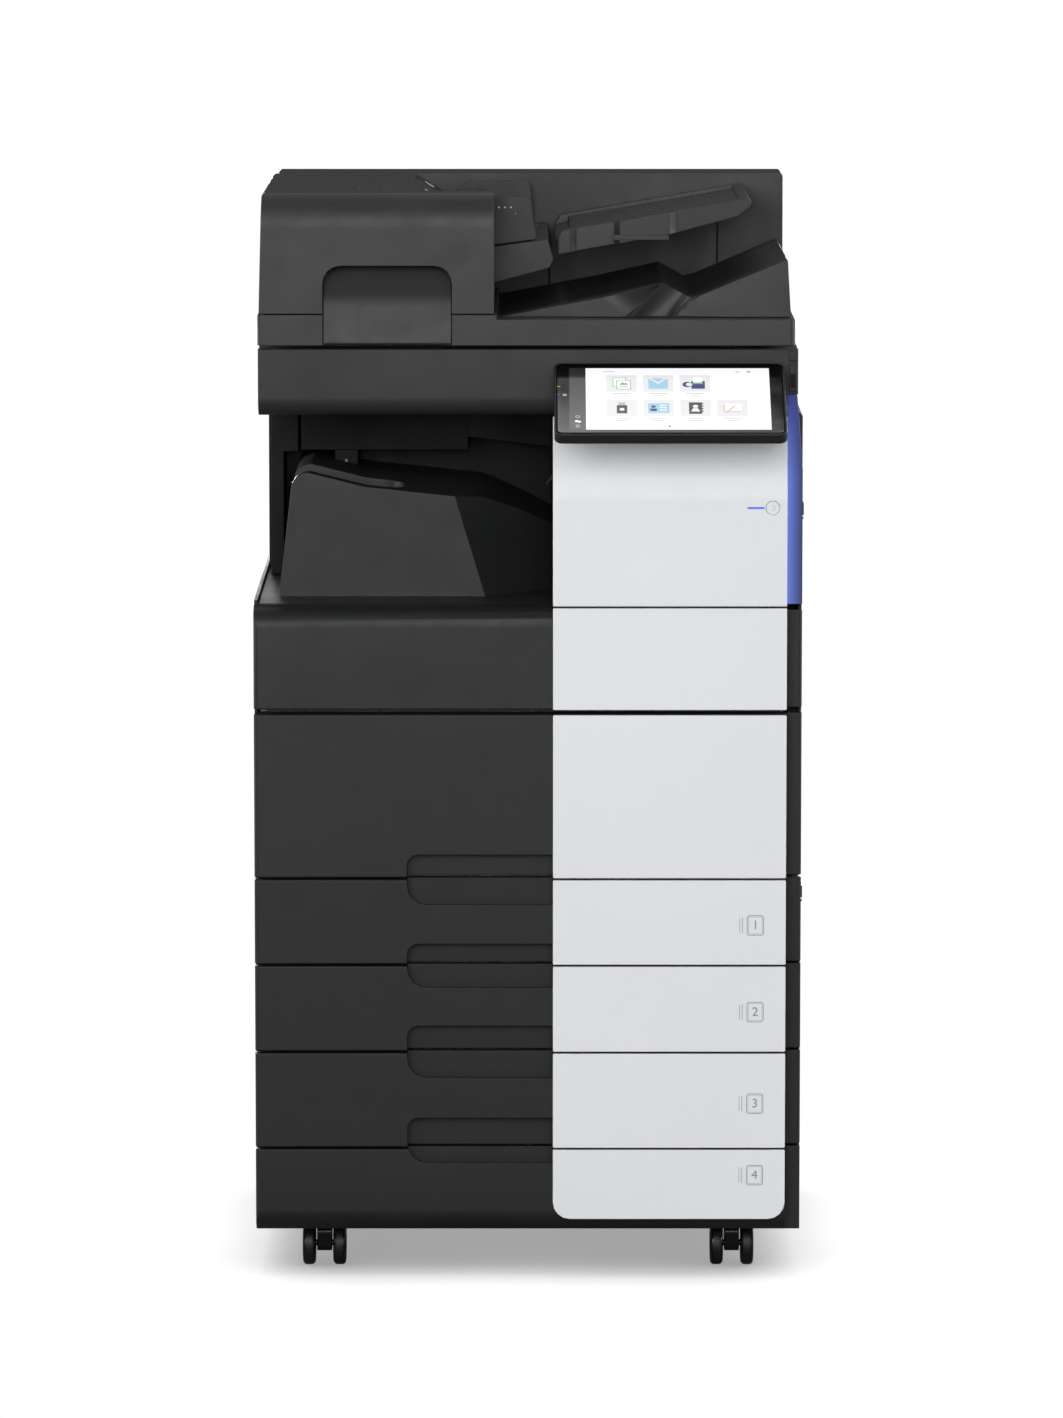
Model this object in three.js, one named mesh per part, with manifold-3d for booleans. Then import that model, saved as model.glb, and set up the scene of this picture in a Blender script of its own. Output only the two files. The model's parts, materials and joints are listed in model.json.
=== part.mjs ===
// A floor-standing A3 photocopier: four paper drawers, a print engine behind two drop-down doors, an output
// tray in the body, a scanner, a document feeder on its lid and a tilting touch panel. Millimetres.
// +Z is up, -Y is the front, +X is the right-hand side, and the origin is on the floor under the middle.
import * as THREE from "three";
import { mergeVertices } from "three/addons/utils/BufferGeometryUtils.js";
import Module from "manifold-3d";

// ---- Driving dimensions ----

const HALF = 307.5; // half the body's width
const FRONT = -215; // plane of the dark fronts
const ACCENT_FRONT = -221; // plane of the light accents, proud of the fronts
const STRIP_FRONT = -194; // plane of the strip along the right-hand edge, set back
const SHELL_FRONT = -183.8; // where the side covers begin, behind the fronts
const FRAME_FRONT = -176; // front of the steel frame
const SHELL_BACK = 309.6; // where the side covers end, at the rear cover
const BACK = 344; // back of the rear cover
const SKIN = 3.5; // wall of a moulded front or cover
const SHEET = 3; // wall of a frame plate or thin moulding
const AIR = 0.4; // gap between pieces that rest on each other

const ACCENT_LEFT = 28; // left edge of the light column
const ACCENT_RIGHT = 289.5; // right edge of the light column
const STRIP_LEFT = 290; // left edge of the set-back strip

const SKIRT_BOTTOM = 51; // lower edge of the cabinet
const BASE_BOTTOM = 62; // underside of the frame's base plate
const SEAM = 2.6; // line between two fronts
const SEAM_HEIGHTS = [456.3, 358, 258.8, 148.8]; // top seam of each drawer, drawer 1 first
const LOWER_DOOR_TOP = 642;
const UPPER_DOOR_BOTTOM = 648;
const DECK = 764; // top of the upper door and of the deck behind it
const SCANNER_BOTTOM = 976;
const SCANNER_TOP = 1051.4;
const LID_BOTTOM = 1055;
const LID_TOP = 1084; // the lid base beside the feeder
const COVER_BOTTOM = 1090.5; // seam under the feeder cover
const TOP = 1224; // top of the document feeder

const BAY_LEFT = -303; // the output bay, between the side cover and the light column
const BAY_BACK = 195.5;
const FRAME_RIGHT = 256; // inner wall beside the paper trays
const DOOR_BACK = 200; // rear edge of the right-hand doors

const PANEL_PIVOT = { y: -236, z: 1008 };
const PANEL_TILT = 26.9; // degrees between the panel and the floor
const PANEL_CENTRE = 157.2;
const LID_HINGE = { y: 330, z: 1062 };

// ---- Making solids ----

const wasm = await Module();
wasm.setup();

// A closed three.js geometry as a solid that can be joined and cut.
function solid(geometry) {
  const plain = geometry.index ? geometry.toNonIndexed() : geometry;
  plain.deleteAttribute("normal");
  plain.deleteAttribute("uv");
  const merged = mergeVertices(plain, 1e-4);
  const vertProperties = merged.attributes.position.array;
  const triVerts = new Uint32Array(merged.index.array);
  return new wasm.Manifold(new wasm.Mesh({ numProp: 3, vertProperties, triVerts }));
}

// The geometry of a finished solid.
function geometryOf(made) {
  const mesh = made.getMesh();
  const geometry = new THREE.BufferGeometry();
  geometry.setAttribute("position", new THREE.BufferAttribute(mesh.vertProperties, 3));
  geometry.setIndex(new THREE.BufferAttribute(mesh.triVerts, 1));
  geometry.computeVertexNormals();
  return geometry;
}

function block(x0, x1, y0, y1, z0, z1) {
  const box = new THREE.BoxGeometry(x1 - x0, y1 - y0, z1 - z0);
  return solid(box.translate((x0 + x1) / 2, (y0 + y1) / 2, (z0 + z1) / 2));
}

// A closed outline through [a, b] corners. A third number rounds that corner to this radius.
function outline(corners, steps = 4) {
  const points = [];
  corners.forEach(([a, b, radius = 0], i) => {
    const corner = new THREE.Vector2(a, b);
    if (!radius) {
      points.push(corner);
      return;
    }
    const before = corners[(i + corners.length - 1) % corners.length];
    const after = corners[(i + 1) % corners.length];
    const u = new THREE.Vector2(before[0] - a, before[1] - b).normalize();
    const v = new THREE.Vector2(after[0] - a, after[1] - b).normalize();
    const half = Math.acos(THREE.MathUtils.clamp(u.dot(v), -1, 1)) / 2;
    const bisector = u.clone().add(v).normalize();
    const centre = corner.clone().addScaledVector(bisector, radius / Math.sin(half));
    const start = corner.clone().addScaledVector(u, radius / Math.tan(half)).sub(centre);
    const turn = (Math.PI - 2 * half) * Math.sign(v.cross(u));
    for (let k = 0; k <= steps; k += 1) {
      const spoke = start.clone().rotateAround(new THREE.Vector2(), (turn * k) / steps);
      points.push(spoke.add(centre));
    }
  });
  return new THREE.Shape(points);
}

const X = new THREE.Vector3(1, 0, 0);
const Y = new THREE.Vector3(0, 1, 0);
const Z = new THREE.Vector3(0, 0, 1);

// An outline drawn across an axis and extruded along it: (y, z) for x, (x, z) for y and (x, y) for z.
function prism(axis, shape, from, to) {
  const geometry = new THREE.ExtrudeGeometry(shape, { depth: to - from, bevelEnabled: false });
  if (axis === "x") {
    geometry.applyMatrix4(new THREE.Matrix4().makeBasis(Y, Z, X)).translate(from, 0, 0);
  } else if (axis === "y") {
    geometry.applyMatrix4(new THREE.Matrix4().makeBasis(X, Z, Y.clone().negate())).translate(0, to, 0);
  } else {
    geometry.translate(0, 0, from);
  }
  return solid(geometry);
}

// A round bar along an axis, centred on the two other coordinates, with a flat facing down.
function bar(axis, a, b, radius, from, to, sides = 20) {
  const points = [];
  for (let k = 0; k < sides; k += 1) {
    const angle = ((k + 0.5) / sides) * 2 * Math.PI;
    points.push(new THREE.Vector2(a + radius * Math.sin(angle), b - radius * Math.cos(angle)));
  }
  return prism(axis, new THREE.Shape(points), from, to);
}

function join(...solids) {
  return solids.reduce((whole, piece) => whole.add(piece));
}

function cut(whole, ...tools) {
  return tools.reduce((rest, tool) => rest.subtract(tool), whole);
}

// ---- Finishes ----

const FINISHES = {
  feeder: { color: 0x4a4b4a, roughness: 0.5 },
  scanner: { color: 0x3f4041, roughness: 0.5 },
  cabinet: { color: 0x343537, roughness: 0.5 },
  dark: { color: 0x202122, roughness: 0.6 },
  light: { color: 0xe0e1e3, roughness: 0.4 },
  white: { color: 0xf2f2f0, roughness: 0.7 },
  grey: { color: 0x8b8d90, roughness: 0.6 },
  steel: { color: 0xa9adb1, roughness: 0.4, metalness: 0.9 },
  rubber: { color: 0x1a1a1a, roughness: 0.9 },
  glass: { color: 0x0b0d10, roughness: 0.05 },
  glow: { color: 0x5a6ee0, roughness: 0.3 },
  drum: { color: 0x2f6f8f, roughness: 0.15, metalness: 0.5 },
};

function part(name, finish, made) {
  const mesh = new THREE.Mesh(geometryOf(made), new THREE.MeshStandardMaterial(FINISHES[finish]));
  mesh.name = name;
  return mesh;
}

function groupAt(x, y, z, ...meshes) {
  const group = new THREE.Group();
  group.position.set(x, y, z);
  group.add(...meshes);
  return group;
}

// ---- Fronts: doors and drawer fronts ----

// The plan of a front: the dark panel and the set-back strip to its right. inset is the wall left outside it.
function frontPlan(back, inset) {
  return outline([
    [-HALF + inset, back],
    [-HALF + inset, FRONT + inset, Math.max(5 - inset, 1)],
    [STRIP_LEFT - inset, FRONT + inset],
    [STRIP_LEFT - inset, STRIP_FRONT + inset],
    [HALF - inset, STRIP_FRONT + inset, Math.max(4 - inset, 0.5)],
    [HALF - inset, back],
  ]);
}

// The opening of a handle recess, cut in by the light accent on its right.
function recessOutline(low, high, lowRadius, highRadius, grow) {
  return outline([
    [-136 - grow, low - grow, lowRadius],
    [40 + grow, low - grow],
    [40 + grow, high + grow],
    [-136 - grow, high + grow, highRadius],
  ]);
}

const FRONT_BACK = -185; // open back of a front
const RECESS_BACK = -197; // back wall of a handle recess
const LIP = 5; // front wall of the finger pocket

// A hollow front from z = 0 to height. gripLow is where the lower half of a handle recess begins in its top,
// and gripHigh is where the upper half of the next front's recess ends in its bottom.
function frontShell({ height, topRadius = 1.5, bottomRadius = 1.5, gripLow, gripHigh, slope = 0 }) {
  const side = (inset, back, radiusLess) =>
    outline([
      [FRONT + inset, inset, Math.max(bottomRadius - radiusLess, 0.5)],
      [FRONT + inset, height - inset, Math.max(topRadius - radiusLess, 0.5)],
      [back, height - inset - slope],
      [back, inset],
    ]);
  const outer = prism("z", frontPlan(FRONT_BACK, 0), 0, height).intersect(
    prism("x", side(0, FRONT_BACK, 0), -HALF, HALF),
  );
  const inner = prism("z", frontPlan(FRONT_BACK + 1, SKIN), SKIN, height - SKIN).intersect(
    prism("x", side(SKIN, FRONT_BACK + 1, SKIN), -HALF, HALF),
  );
  let shell = outer.subtract(inner);
  if (gripLow) {
    const housing = prism("y", recessOutline(gripLow - 12, height - 3, 22, 0, 3), FRONT + 2, RECESS_BACK + 3);
    const mouth = prism("y", recessOutline(gripLow, height + 30, 22, 0, 0), FRONT - 1, RECESS_BACK);
    const pocket = prism("y", recessOutline(gripLow - 12, height + 30, 22, 0, 0), FRONT + LIP, RECESS_BACK);
    shell = cut(join(shell, housing), mouth, pocket);
  }
  if (gripHigh) {
    const housing = prism("y", recessOutline(3, gripHigh, 0, 12, 3), FRONT + 2, RECESS_BACK + 3);
    const mouth = prism("y", recessOutline(-6, gripHigh, 0, 12, 0), FRONT - 1, RECESS_BACK);
    shell = cut(join(shell, housing), mouth);
  }
  return shell;
}

// A flat light accent in front of a front, from z = low to z = high.
function accentPlate(low, high, bottomRadius = 1.5) {
  const shape = outline([
    [ACCENT_LEFT, low, bottomRadius],
    [ACCENT_RIGHT, low, bottomRadius],
    [ACCENT_RIGHT, high, 1.5],
    [ACCENT_LEFT, high, 1.5],
  ]);
  return prism("y", shape, ACCENT_FRONT, FRONT - AIR);
}

// ---- Drawers ----

const TRAY_LEFT = -288;
const TRAY_RIGHT = 250;
const TRAY_BACK = 255;
const GRIP_BOTTOMS = [426.4, 332, 229, 131.6]; // lower edge of each drawer's handle recess
const GRIP_TOPS = [483.2, 382, 288.5, 183.2]; // its upper edge, in the front above
const LAST_ACCENT_BOTTOM = 68.4; // the lowest accent ends above the skirt

// An open-topped paper tray behind a drawer front.
function paperTray(height, low) {
  const high = height - 8;
  const outer = block(TRAY_LEFT, TRAY_RIGHT, FRONT_BACK + AIR, TRAY_BACK, low, high);
  const hollow = block(
    TRAY_LEFT + SHEET, TRAY_RIGHT - SHEET, FRONT_BACK + AIR + SHEET, TRAY_BACK - SHEET, low + SHEET, high + 1,
  );
  return outer.subtract(hollow);
}

function drawer(number) {
  const index = number - 1;
  const last = number === SEAM_HEIGHTS.length;
  const high = SEAM_HEIGHTS[index] - SEAM / 2;
  const low = last ? SKIRT_BOTTOM : SEAM_HEIGHTS[index + 1] + SEAM / 2;
  const shell = frontShell({
    height: high - low,
    bottomRadius: last ? 27 : 1.5,
    gripLow: GRIP_BOTTOMS[index] - low,
    gripHigh: last ? undefined : GRIP_TOPS[index + 1] - low,
  });
  const accentLow = last ? LAST_ACCENT_BOTTOM - low : 0;
  return groupAt(
    0, 0, low,
    part(`drawer_${number}_front`, "cabinet", shell),
    part(`drawer_${number}_accent`, "light", accentPlate(accentLow, high - low, last ? 19 : 1.5)),
    part(`drawer_${number}_tray`, "grey", paperTray(high - low, last ? BASE_BOTTOM + 8 - low : 8)),
  );
}

// ---- Front doors ----

function lowerDoor() {
  const low = SEAM_HEIGHTS[0] + SEAM / 2;
  const height = LOWER_DOOR_TOP - low;
  const shell = frontShell({ height, gripHigh: GRIP_TOPS[0] - low });
  return groupAt(
    0, 0, low,
    part("lower_front_door", "cabinet", shell),
    part("lower_door_accent", "light", accentPlate(0, height)),
  );
}

// The upper door's top drops towards its back on the right, to clear the column as it swings down.
function upperDoor() {
  const height = DECK - UPPER_DOOR_BOTTOM;
  const rounded = frontShell({ height, topRadius: 24 });
  const sloped = frontShell({ height: height - 0.6, slope: 7.2 });
  const left = rounded.intersect(block(-HALF - 1, ACCENT_LEFT, -300, 0, -1, height + 1));
  const right = sloped.intersect(block(ACCENT_LEFT, HALF + 1, -300, 0, -1, height + 1));
  const stripTop = block(STRIP_LEFT + 0.5, HALF + 1, -300, -180, height - 4, height + 1);
  return groupAt(
    0, 0, UPPER_DOOR_BOTTOM,
    part("upper_front_door", "cabinet", cut(join(left, right), stripTop)),
    part("upper_door_accent", "light", accentPlate(0, height - 1.5)),
  );
}

// ---- Frame and fixed covers ----

// Where the drum and rollers run, as x and z of their axes along Y.
const DRUM = { x: 190, z: 590, radius: 30 };
const HEAT_ROLLER = { x: 200, z: 700, radius: 20 };
const PRESSURE_ROLLER = { x: 240.6, z: 700, radius: 20 };
const TONER = { x: -140, z: 702, radius: 43 };
const SHAFT = 5;
const ROLLER_FRONT = -160;
const ROLLER_BACK = 180;

function chassisFrame() {
  const front = FRAME_FRONT;
  const back = 306;
  const ceiling = DECK - 10;
  const shelf = SEAM_HEIGHTS[0] - 5;
  const frontPlate = cut(
    block(-301, 287, front, front + SHEET, shelf, ceiling + SHEET),
    bar("y", TONER.x, TONER.z, TONER.radius + 4, front - 1, front + 4, 28),
    bar("y", DRUM.x, DRUM.z, DRUM.radius + 6, front - 1, front + 4, 24),
    block(-270, 120, front - 1, front + 4, shelf + 20, 630),
  );
  const bearingPlate = block(120, 262, 186, 186 + SHEET, shelf, ceiling + SHEET);
  const frontBearing = block(120, 262, -168, -168 + SHEET, shelf, ceiling + SHEET);
  const bearingTie = block(120, 123, front, 189, shelf, ceiling + SHEET);
  const shafts = [DRUM, HEAT_ROLLER, PRESSURE_ROLLER].map(({ x, z }) =>
    bar("y", x, z, SHAFT + 0.8, -175, 200, 16),
  );
  const crossBars = SEAM_HEIGHTS.slice(1).map((z) => block(-301, 287, front, front + 12, z - 4, z + 4));
  const plates = join(
    block(-301, 301, front, back, BASE_BOTTOM, BASE_BOTTOM + 4),
    block(-301, -301 + SHEET, front, back, BASE_BOTTOM, ceiling + SHEET),
    block(FRAME_RIGHT, FRAME_RIGHT + SHEET, front, back, BASE_BOTTOM, shelf + SHEET),
    block(-301, 301, back - SHEET, back, BASE_BOTTOM, ceiling + SHEET),
    block(-301, 22, back - SHEET, back, ceiling, SCANNER_BOTTOM - 4),
    block(34, 301, back - SHEET, back, ceiling, SCANNER_BOTTOM - 4),
    block(-301, FRAME_RIGHT + SHEET, front, back, shelf, shelf + SHEET),
    block(-301, FRAME_RIGHT + SHEET, front, back, ceiling, ceiling + SHEET),
    block(262, 287, front, front + 14, BASE_BOTTOM, ceiling + SHEET),
    block(262, 301, 206, back, BASE_BOTTOM, ceiling + SHEET),
    frontBearing,
    bearingPlate,
    bearingTie,
    frontPlate,
    ...crossBars,
  );
  return part("chassis_frame", "steel", cut(plates, ...shafts));
}

function leftCover() {
  const plan = outline([
    [-HALF, SHELL_FRONT], [-HALF, SHELL_BACK], [-HALF + SKIN, SHELL_BACK], [-HALF + SKIN, SHELL_FRONT],
  ]);
  return part("left_cover", "cabinet", prism("z", plan, SKIRT_BOTTOM, DECK + 4));
}

const INLET = { x: -236, z: 112, width: 50, height: 27 };

function rearCover() {
  const outer = prism(
    "z",
    outline([[-HALF, SHELL_BACK + AIR], [HALF, SHELL_BACK + AIR], [HALF, BACK, 8], [-HALF, BACK, 8]]),
    SKIRT_BOTTOM, SCANNER_BOTTOM - 1,
  );
  const hollow = block(
    -HALF + SKIN, HALF - SKIN, SHELL_BACK, BACK - SKIN, SKIRT_BOTTOM + SKIN, SCANNER_BOTTOM - 5,
  );
  const wrap = block(HALF - SKIN, HALF, DOOR_BACK + 3, SHELL_BACK + 2, SKIRT_BOTTOM, DECK - 0.5);
  const inlet = block(
    INLET.x - INLET.width / 2 - AIR, INLET.x + INLET.width / 2 + AIR, BACK - 10, BACK + 1,
    INLET.z - INLET.height / 2 - AIR, INLET.z + INLET.height / 2 + AIR,
  );
  return part("rear_cover", "cabinet", cut(join(outer, wrap), hollow, inlet));
}

// The mains inlet: a recessed socket with its three blades.
function powerInlet() {
  const { x, z, width, height } = INLET;
  const shell = block(x - width / 2, x + width / 2, BACK - 22, BACK - 0.2, z - height / 2, z + height / 2);
  const socket = block(x - 13, x + 13, BACK - 18, BACK, z - 9, z + 9);
  const blades = [[-7, -2], [0, 3], [7, -2]].map(([dx, dz]) =>
    block(x + dx - 1, x + dx + 1, BACK - 19, BACK - 4, z + dz - 3, z + dz + 3),
  );
  return part("power_inlet", "dark", join(cut(shell, socket), ...blades));
}

const LEAN_START = 890; // above this height the column leans back
const COLUMN_TOP = SCANNER_BOTTOM - 0.5;
const LEAN = 22;
const EXIT_SLOT = { low: 850, high: 908, front: -108, back: 185 };

function rightPillarCover() {
  const top = COLUMN_TOP;
  const plan = (inset) =>
    outline([
      [ACCENT_LEFT - 0.6 + inset, SHELL_BACK - inset],
      [ACCENT_LEFT - 0.6 + inset, FRONT + inset],
      [STRIP_LEFT - 0.2 - inset, FRONT + inset],
      [STRIP_LEFT - 0.2 - inset, SHELL_FRONT + 0.6 + inset],
      [HALF - inset, SHELL_FRONT + 0.6 + inset],
      [HALF - inset, SHELL_BACK - inset],
    ]);
  const lean = (inset) =>
    outline([
      [FRONT + inset, DECK - 1], [FRONT + inset, LEAN_START], [FRONT + LEAN + inset, top + 1], [400, top + 1],
      [400, DECK - 1],
    ]);
  const outer = prism("z", plan(0), DECK + 1, top).intersect(prism("x", lean(0), -HALF, HALF));
  const inner = prism("z", plan(SHEET), DECK, top + 0.5).intersect(prism("x", lean(SHEET), -HALF, HALF));
  const doorway = block(HALF - SHEET - 1, HALF + 1, SHELL_FRONT, DOOR_BACK + 3, DECK - 1, 906.6);
  const { low, high, front, back } = EXIT_SLOT;
  const exit = block(ACCENT_LEFT - 2, ACCENT_LEFT + 4, front, back, low, high);
  return part("right_pillar_cover", "dark", cut(outer, inner, doorway, exit));
}

const POWER_KEY = { x: 273.3, z: 875.4, radius: 7.5 };

function columnFrontCover() {
  const back = -(ACCENT_FRONT - FRONT) - AIR;
  const shape = outline([
    [ACCENT_FRONT, DECK + 0.6, 1.5],
    [ACCENT_FRONT, LEAN_START, 60],
    [ACCENT_FRONT + LEAN, COLUMN_TOP],
    [ACCENT_FRONT + LEAN + back, COLUMN_TOP],
    [ACCENT_FRONT + back, LEAN_START],
    [ACCENT_FRONT + back, DECK + 0.6],
  ]);
  const keyHole = bar("y", POWER_KEY.x, POWER_KEY.z, POWER_KEY.radius + AIR, -230, -200, 24);
  return part("column_front_cover", "light", cut(prism("x", shape, ACCENT_LEFT, ACCENT_RIGHT), keyHole));
}

// A round key, flush with the column, that travels in by about a millimetre.
function powerKey() {
  const { x, z, radius } = POWER_KEY;
  return part("power_key", "light", bar("y", x, z, radius, ACCENT_FRONT + 0.1, ACCENT_FRONT + 4.2, 24));
}

function statusLight() {
  const shape = outline([
    [STRIP_LEFT + 0.3, DECK + 0.6],
    [HALF - 0.1, DECK + 0.6],
    [HALF - 0.1, 916],
    [301, SCANNER_BOTTOM + 23.5],
    [STRIP_LEFT + 0.3, SCANNER_BOTTOM + 23.5],
  ]);
  return part("status_light", "glow", prism("y", shape, STRIP_FRONT, SHELL_FRONT));
}

// ---- Output bay ----

const TRAY_FRONT = -117;

// The output tray: a deck with a hollow, sloping stacker that carries a finger notch from its left end.
function outputTray() {
  const right = ACCENT_LEFT - 1.2;
  const back = BAY_BACK - AIR;
  const surface = [
    [-281.7, DECK - 1], [-266, 901, 19], [-248, 905, 8], [-184, 889, 80], [-51, 875, 60], [-9, 856, 60],
    [right, 837.5], [right, DECK - 1],
  ];
  const under = [
    [-277, DECK - 8], [-262.5, 896, 15], [-247, 900.5, 8], [-184, 884.5, 80], [-53, 870.5, 56],
    [-12, 852, 60], [right - SHEET, 835], [right - SHEET, DECK - 8],
  ];
  const deck = block(BAY_LEFT + 0.2, right, SHELL_FRONT, back, DECK - 6, DECK);
  const stacker = prism("y", outline(surface, 5), TRAY_FRONT, back);
  const hollow = prism("y", outline(under, 5), TRAY_FRONT + 5, back - 4);
  const notchPlan = (wall) => {
    const round = 24 + wall;
    return outline([
      [-300, -92 - wall], [-142 + wall, -92 - wall, round], [-142 + wall, -10 + wall, round],
      [-300, -10 + wall],
    ]);
  };
  const notch = prism("z", notchPlan(0), 872, 920);
  const lining = prism("z", notchPlan(5), 867, 930).intersect(stacker);
  const room = hollow.subtract(stackerCorner(5, 740));
  const shell = cut(join(deck, stacker), room, stackerCorner(0, DECK));
  return part("output_tray", "scanner", cut(join(shell, lining), notch));
}

// What is cut off the stacker's front right corner: a face that slants back, and leans left as it rises.
function stackerCorner(wall, low) {
  const plan = outline([
    [-75 - 1.5 * wall, TRAY_FRONT - 20], [-49 - 1.5 * wall, TRAY_FRONT - 1, 14], [87, 35 + 1.5 * wall],
    [87, TRAY_FRONT - 20],
  ]);
  const lean = 0.3;
  const sheared = [1, 0, 0, 0, 0, 1, 0, 0, -lean, 0, 1, 0, lean * DECK, 0, 0, 1];
  return prism("z", plan, low, 900).transform(sheared);
}

// The bay's rear wall with its left column, the cross-member above and the sloping guide over the paper exit.
function bayRearCover() {
  const right = ACCENT_LEFT - 1;
  const top = SCANNER_BOTTOM - AIR;
  const wall = block(BAY_LEFT, right, BAY_BACK, BAY_BACK + SHEET, DECK - 6, top);
  const column = join(
    block(-298, -283, 110, BAY_BACK + 1, DECK + 0.6, top),
    block(-298, -266, 110, BAY_BACK + 1, 907, top),
  );
  const beam = block(-263, -69, 110, BAY_BACK + 1, 909, top - 3);
  const slope = outline([[-69.5, top - 3], [-69.5, 925], [right, 913], [right, top - 3]]);
  const guide = prism("y", slope, 100, BAY_BACK + 1);
  const port = block(-224, -197, BAY_BACK - 1, BAY_BACK + 1.5, 883, 906);
  const ends = block(BAY_LEFT, BAY_LEFT + SHEET, BAY_BACK, SHELL_BACK - 8, DECK + 5, top);
  return part("bay_rear_cover", "dark", cut(join(wall, column, beam, guide, ends), port));
}

// ---- Scanner ----

const SCANNER_HALF = 301.5;
const SCANNER_FRONT = -200;
const SCANNER_BACK = 320;
const GLASS = { left: -232, right: 210, front: -148, back: 160 };

function scannerHousing() {
  const profile = outline(
    [
      [SCANNER_FRONT, SCANNER_BOTTOM, 20], [SCANNER_FRONT, SCANNER_TOP, 2], [SCANNER_BACK, SCANNER_TOP, 2],
      [SCANNER_BACK, SCANNER_BOTTOM],
    ],
    5,
  );
  const outer = prism("x", profile, -SCANNER_HALF, SCANNER_HALF);
  const cavity = block(-286, 284, -180, 305, SCANNER_BOTTOM + 5, SCANNER_TOP - 6);
  const { left, right, front, back } = GLASS;
  const rebate = block(left - AIR, right + AIR, front - AIR, back + AIR, SCANNER_TOP - 3.4, SCANNER_TOP + 1);
  const window = block(left + 6, right - 6, front + 6, back - 6, SCANNER_TOP - 7, SCANNER_TOP);
  const slit = block(-268, -250, front + 6, back - 6, SCANNER_TOP - 7, SCANNER_TOP + 1);
  const lightNotch = block(
    STRIP_LEFT - 0.6, HALF, -230, SHELL_FRONT + 1, SCANNER_BOTTOM - 1, SCANNER_BOTTOM + 24,
  );
  const rails = [-150, 270].map((y) =>
    block(-286, 284, y - 5, y + 5, SCANNER_BOTTOM + 4, SCANNER_BOTTOM + 12),
  );
  const shell = cut(outer, cavity, rebate, window, slit, lightNotch);
  return part("scanner_housing", "scanner", join(shell, ...rails));
}

function platenGlass() {
  const { left, right, front, back } = GLASS;
  return part("platen_glass", "glass", block(left, right, front, back, SCANNER_TOP - 3, SCANNER_TOP));
}

// The moving carriage that carries the scanning lamp and the first mirror, parked at the left.
function scanCarriage() {
  const body = block(-282, -244, -168, 288, SCANNER_BOTTOM + 12.5, SCANNER_TOP - 8);
  const mirrorSlot = block(-268, -260, -150, 270, SCANNER_BOTTOM + 30, SCANNER_TOP);
  return part("scan_carriage", "steel", body.subtract(mirrorSlot));
}

const HINGE_CENTRES = { left: -195, right: 170 };

// A lid hinge: a post bolted to the scanner's back, with a barrel and a pin that the lid's lugs turn on.
function lidHinge(side) {
  const { y, z } = LID_HINGE;
  const post = block(-18, 18, SCANNER_BACK + AIR, BACK - 0.5, 1000, z - 2);
  const barrel = bar("x", y, z, 7, -18, 18, 16);
  const pin = bar("x", y, z, 3.5, -30, 30, 12);
  const clearance = block(-19, 19, SCANNER_BACK, y - 6.5, LID_BOTTOM - 6, z + 10);
  const hinge = part(`hinge_${side}`, "steel", join(cut(join(post, barrel), clearance), pin));
  return groupAt(HINGE_CENTRES[side], 0, 0, hinge);
}

// ---- Document feeder, on the lid ----

const LID = { left: -302, right: 298, front: -200, back: 319 };
const FEEDER_RIGHT = -38; // right end of the opening cover
const GRIP = { left: -229, right: -85, top: 1144 };
const FEEDER_BACK = 205; // front of the rear cover

function feederBase() {
  const { left, right, front, back } = LID;
  const plan = outline([[left, front, 4], [right, front, 6], [right, back, 6], [left, back, 6]]);
  const slab = prism("z", plan, LID_BOTTOM, COVER_BOTTOM - 1);
  const step = block(FEEDER_RIGHT + 3, right + 1, front - 1, back + 1, LID_TOP, COVER_BOTTOM);
  const leftCavity = block(left + 5, FEEDER_RIGHT - 6, -160, back - 6, LID_BOTTOM + 5, COVER_BOTTOM);
  const rightCavity = block(
    FEEDER_RIGHT + 14, right - 12, -158, FEEDER_BACK - 6, LID_BOTTOM + 5, COVER_BOTTOM,
  );
  const notch = block(GRIP.left, GRIP.right, front - 1, -168, LID_BOTTOM - 1, COVER_BOTTOM);
  const { y, z } = LID_HINGE;
  const lugs = Object.values(HINGE_CENTRES).flatMap((x) =>
    [-1, 1].map((end) => {
      const near = x + (end > 0 ? 20 : -26);
      const arm = block(near, near + 6, back - 8, y, LID_BOTTOM + 1, z + 5);
      return cut(join(arm, bar("x", y, z, 8, near, near + 6, 16)), bar("x", y, z, 4, near - 1, near + 7, 12));
    }),
  );
  return part("feeder_base", "feeder", join(cut(slab, step, leftCavity, rightCavity, notch), ...lugs));
}

// The white backing sheet that presses the original against the glass.
function platenPad() {
  const pad = block(GLASS.left - 6, GLASS.right + 6, -156, 168, SCANNER_TOP + 0.5, LID_BOTTOM - AIR);
  return part("platen_pad", "white", pad);
}

const TABLE = { front: -118, back: 196, left: -160 };
const PICKUP = { x: -132, z: 1162, radius: 13 };

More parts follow.
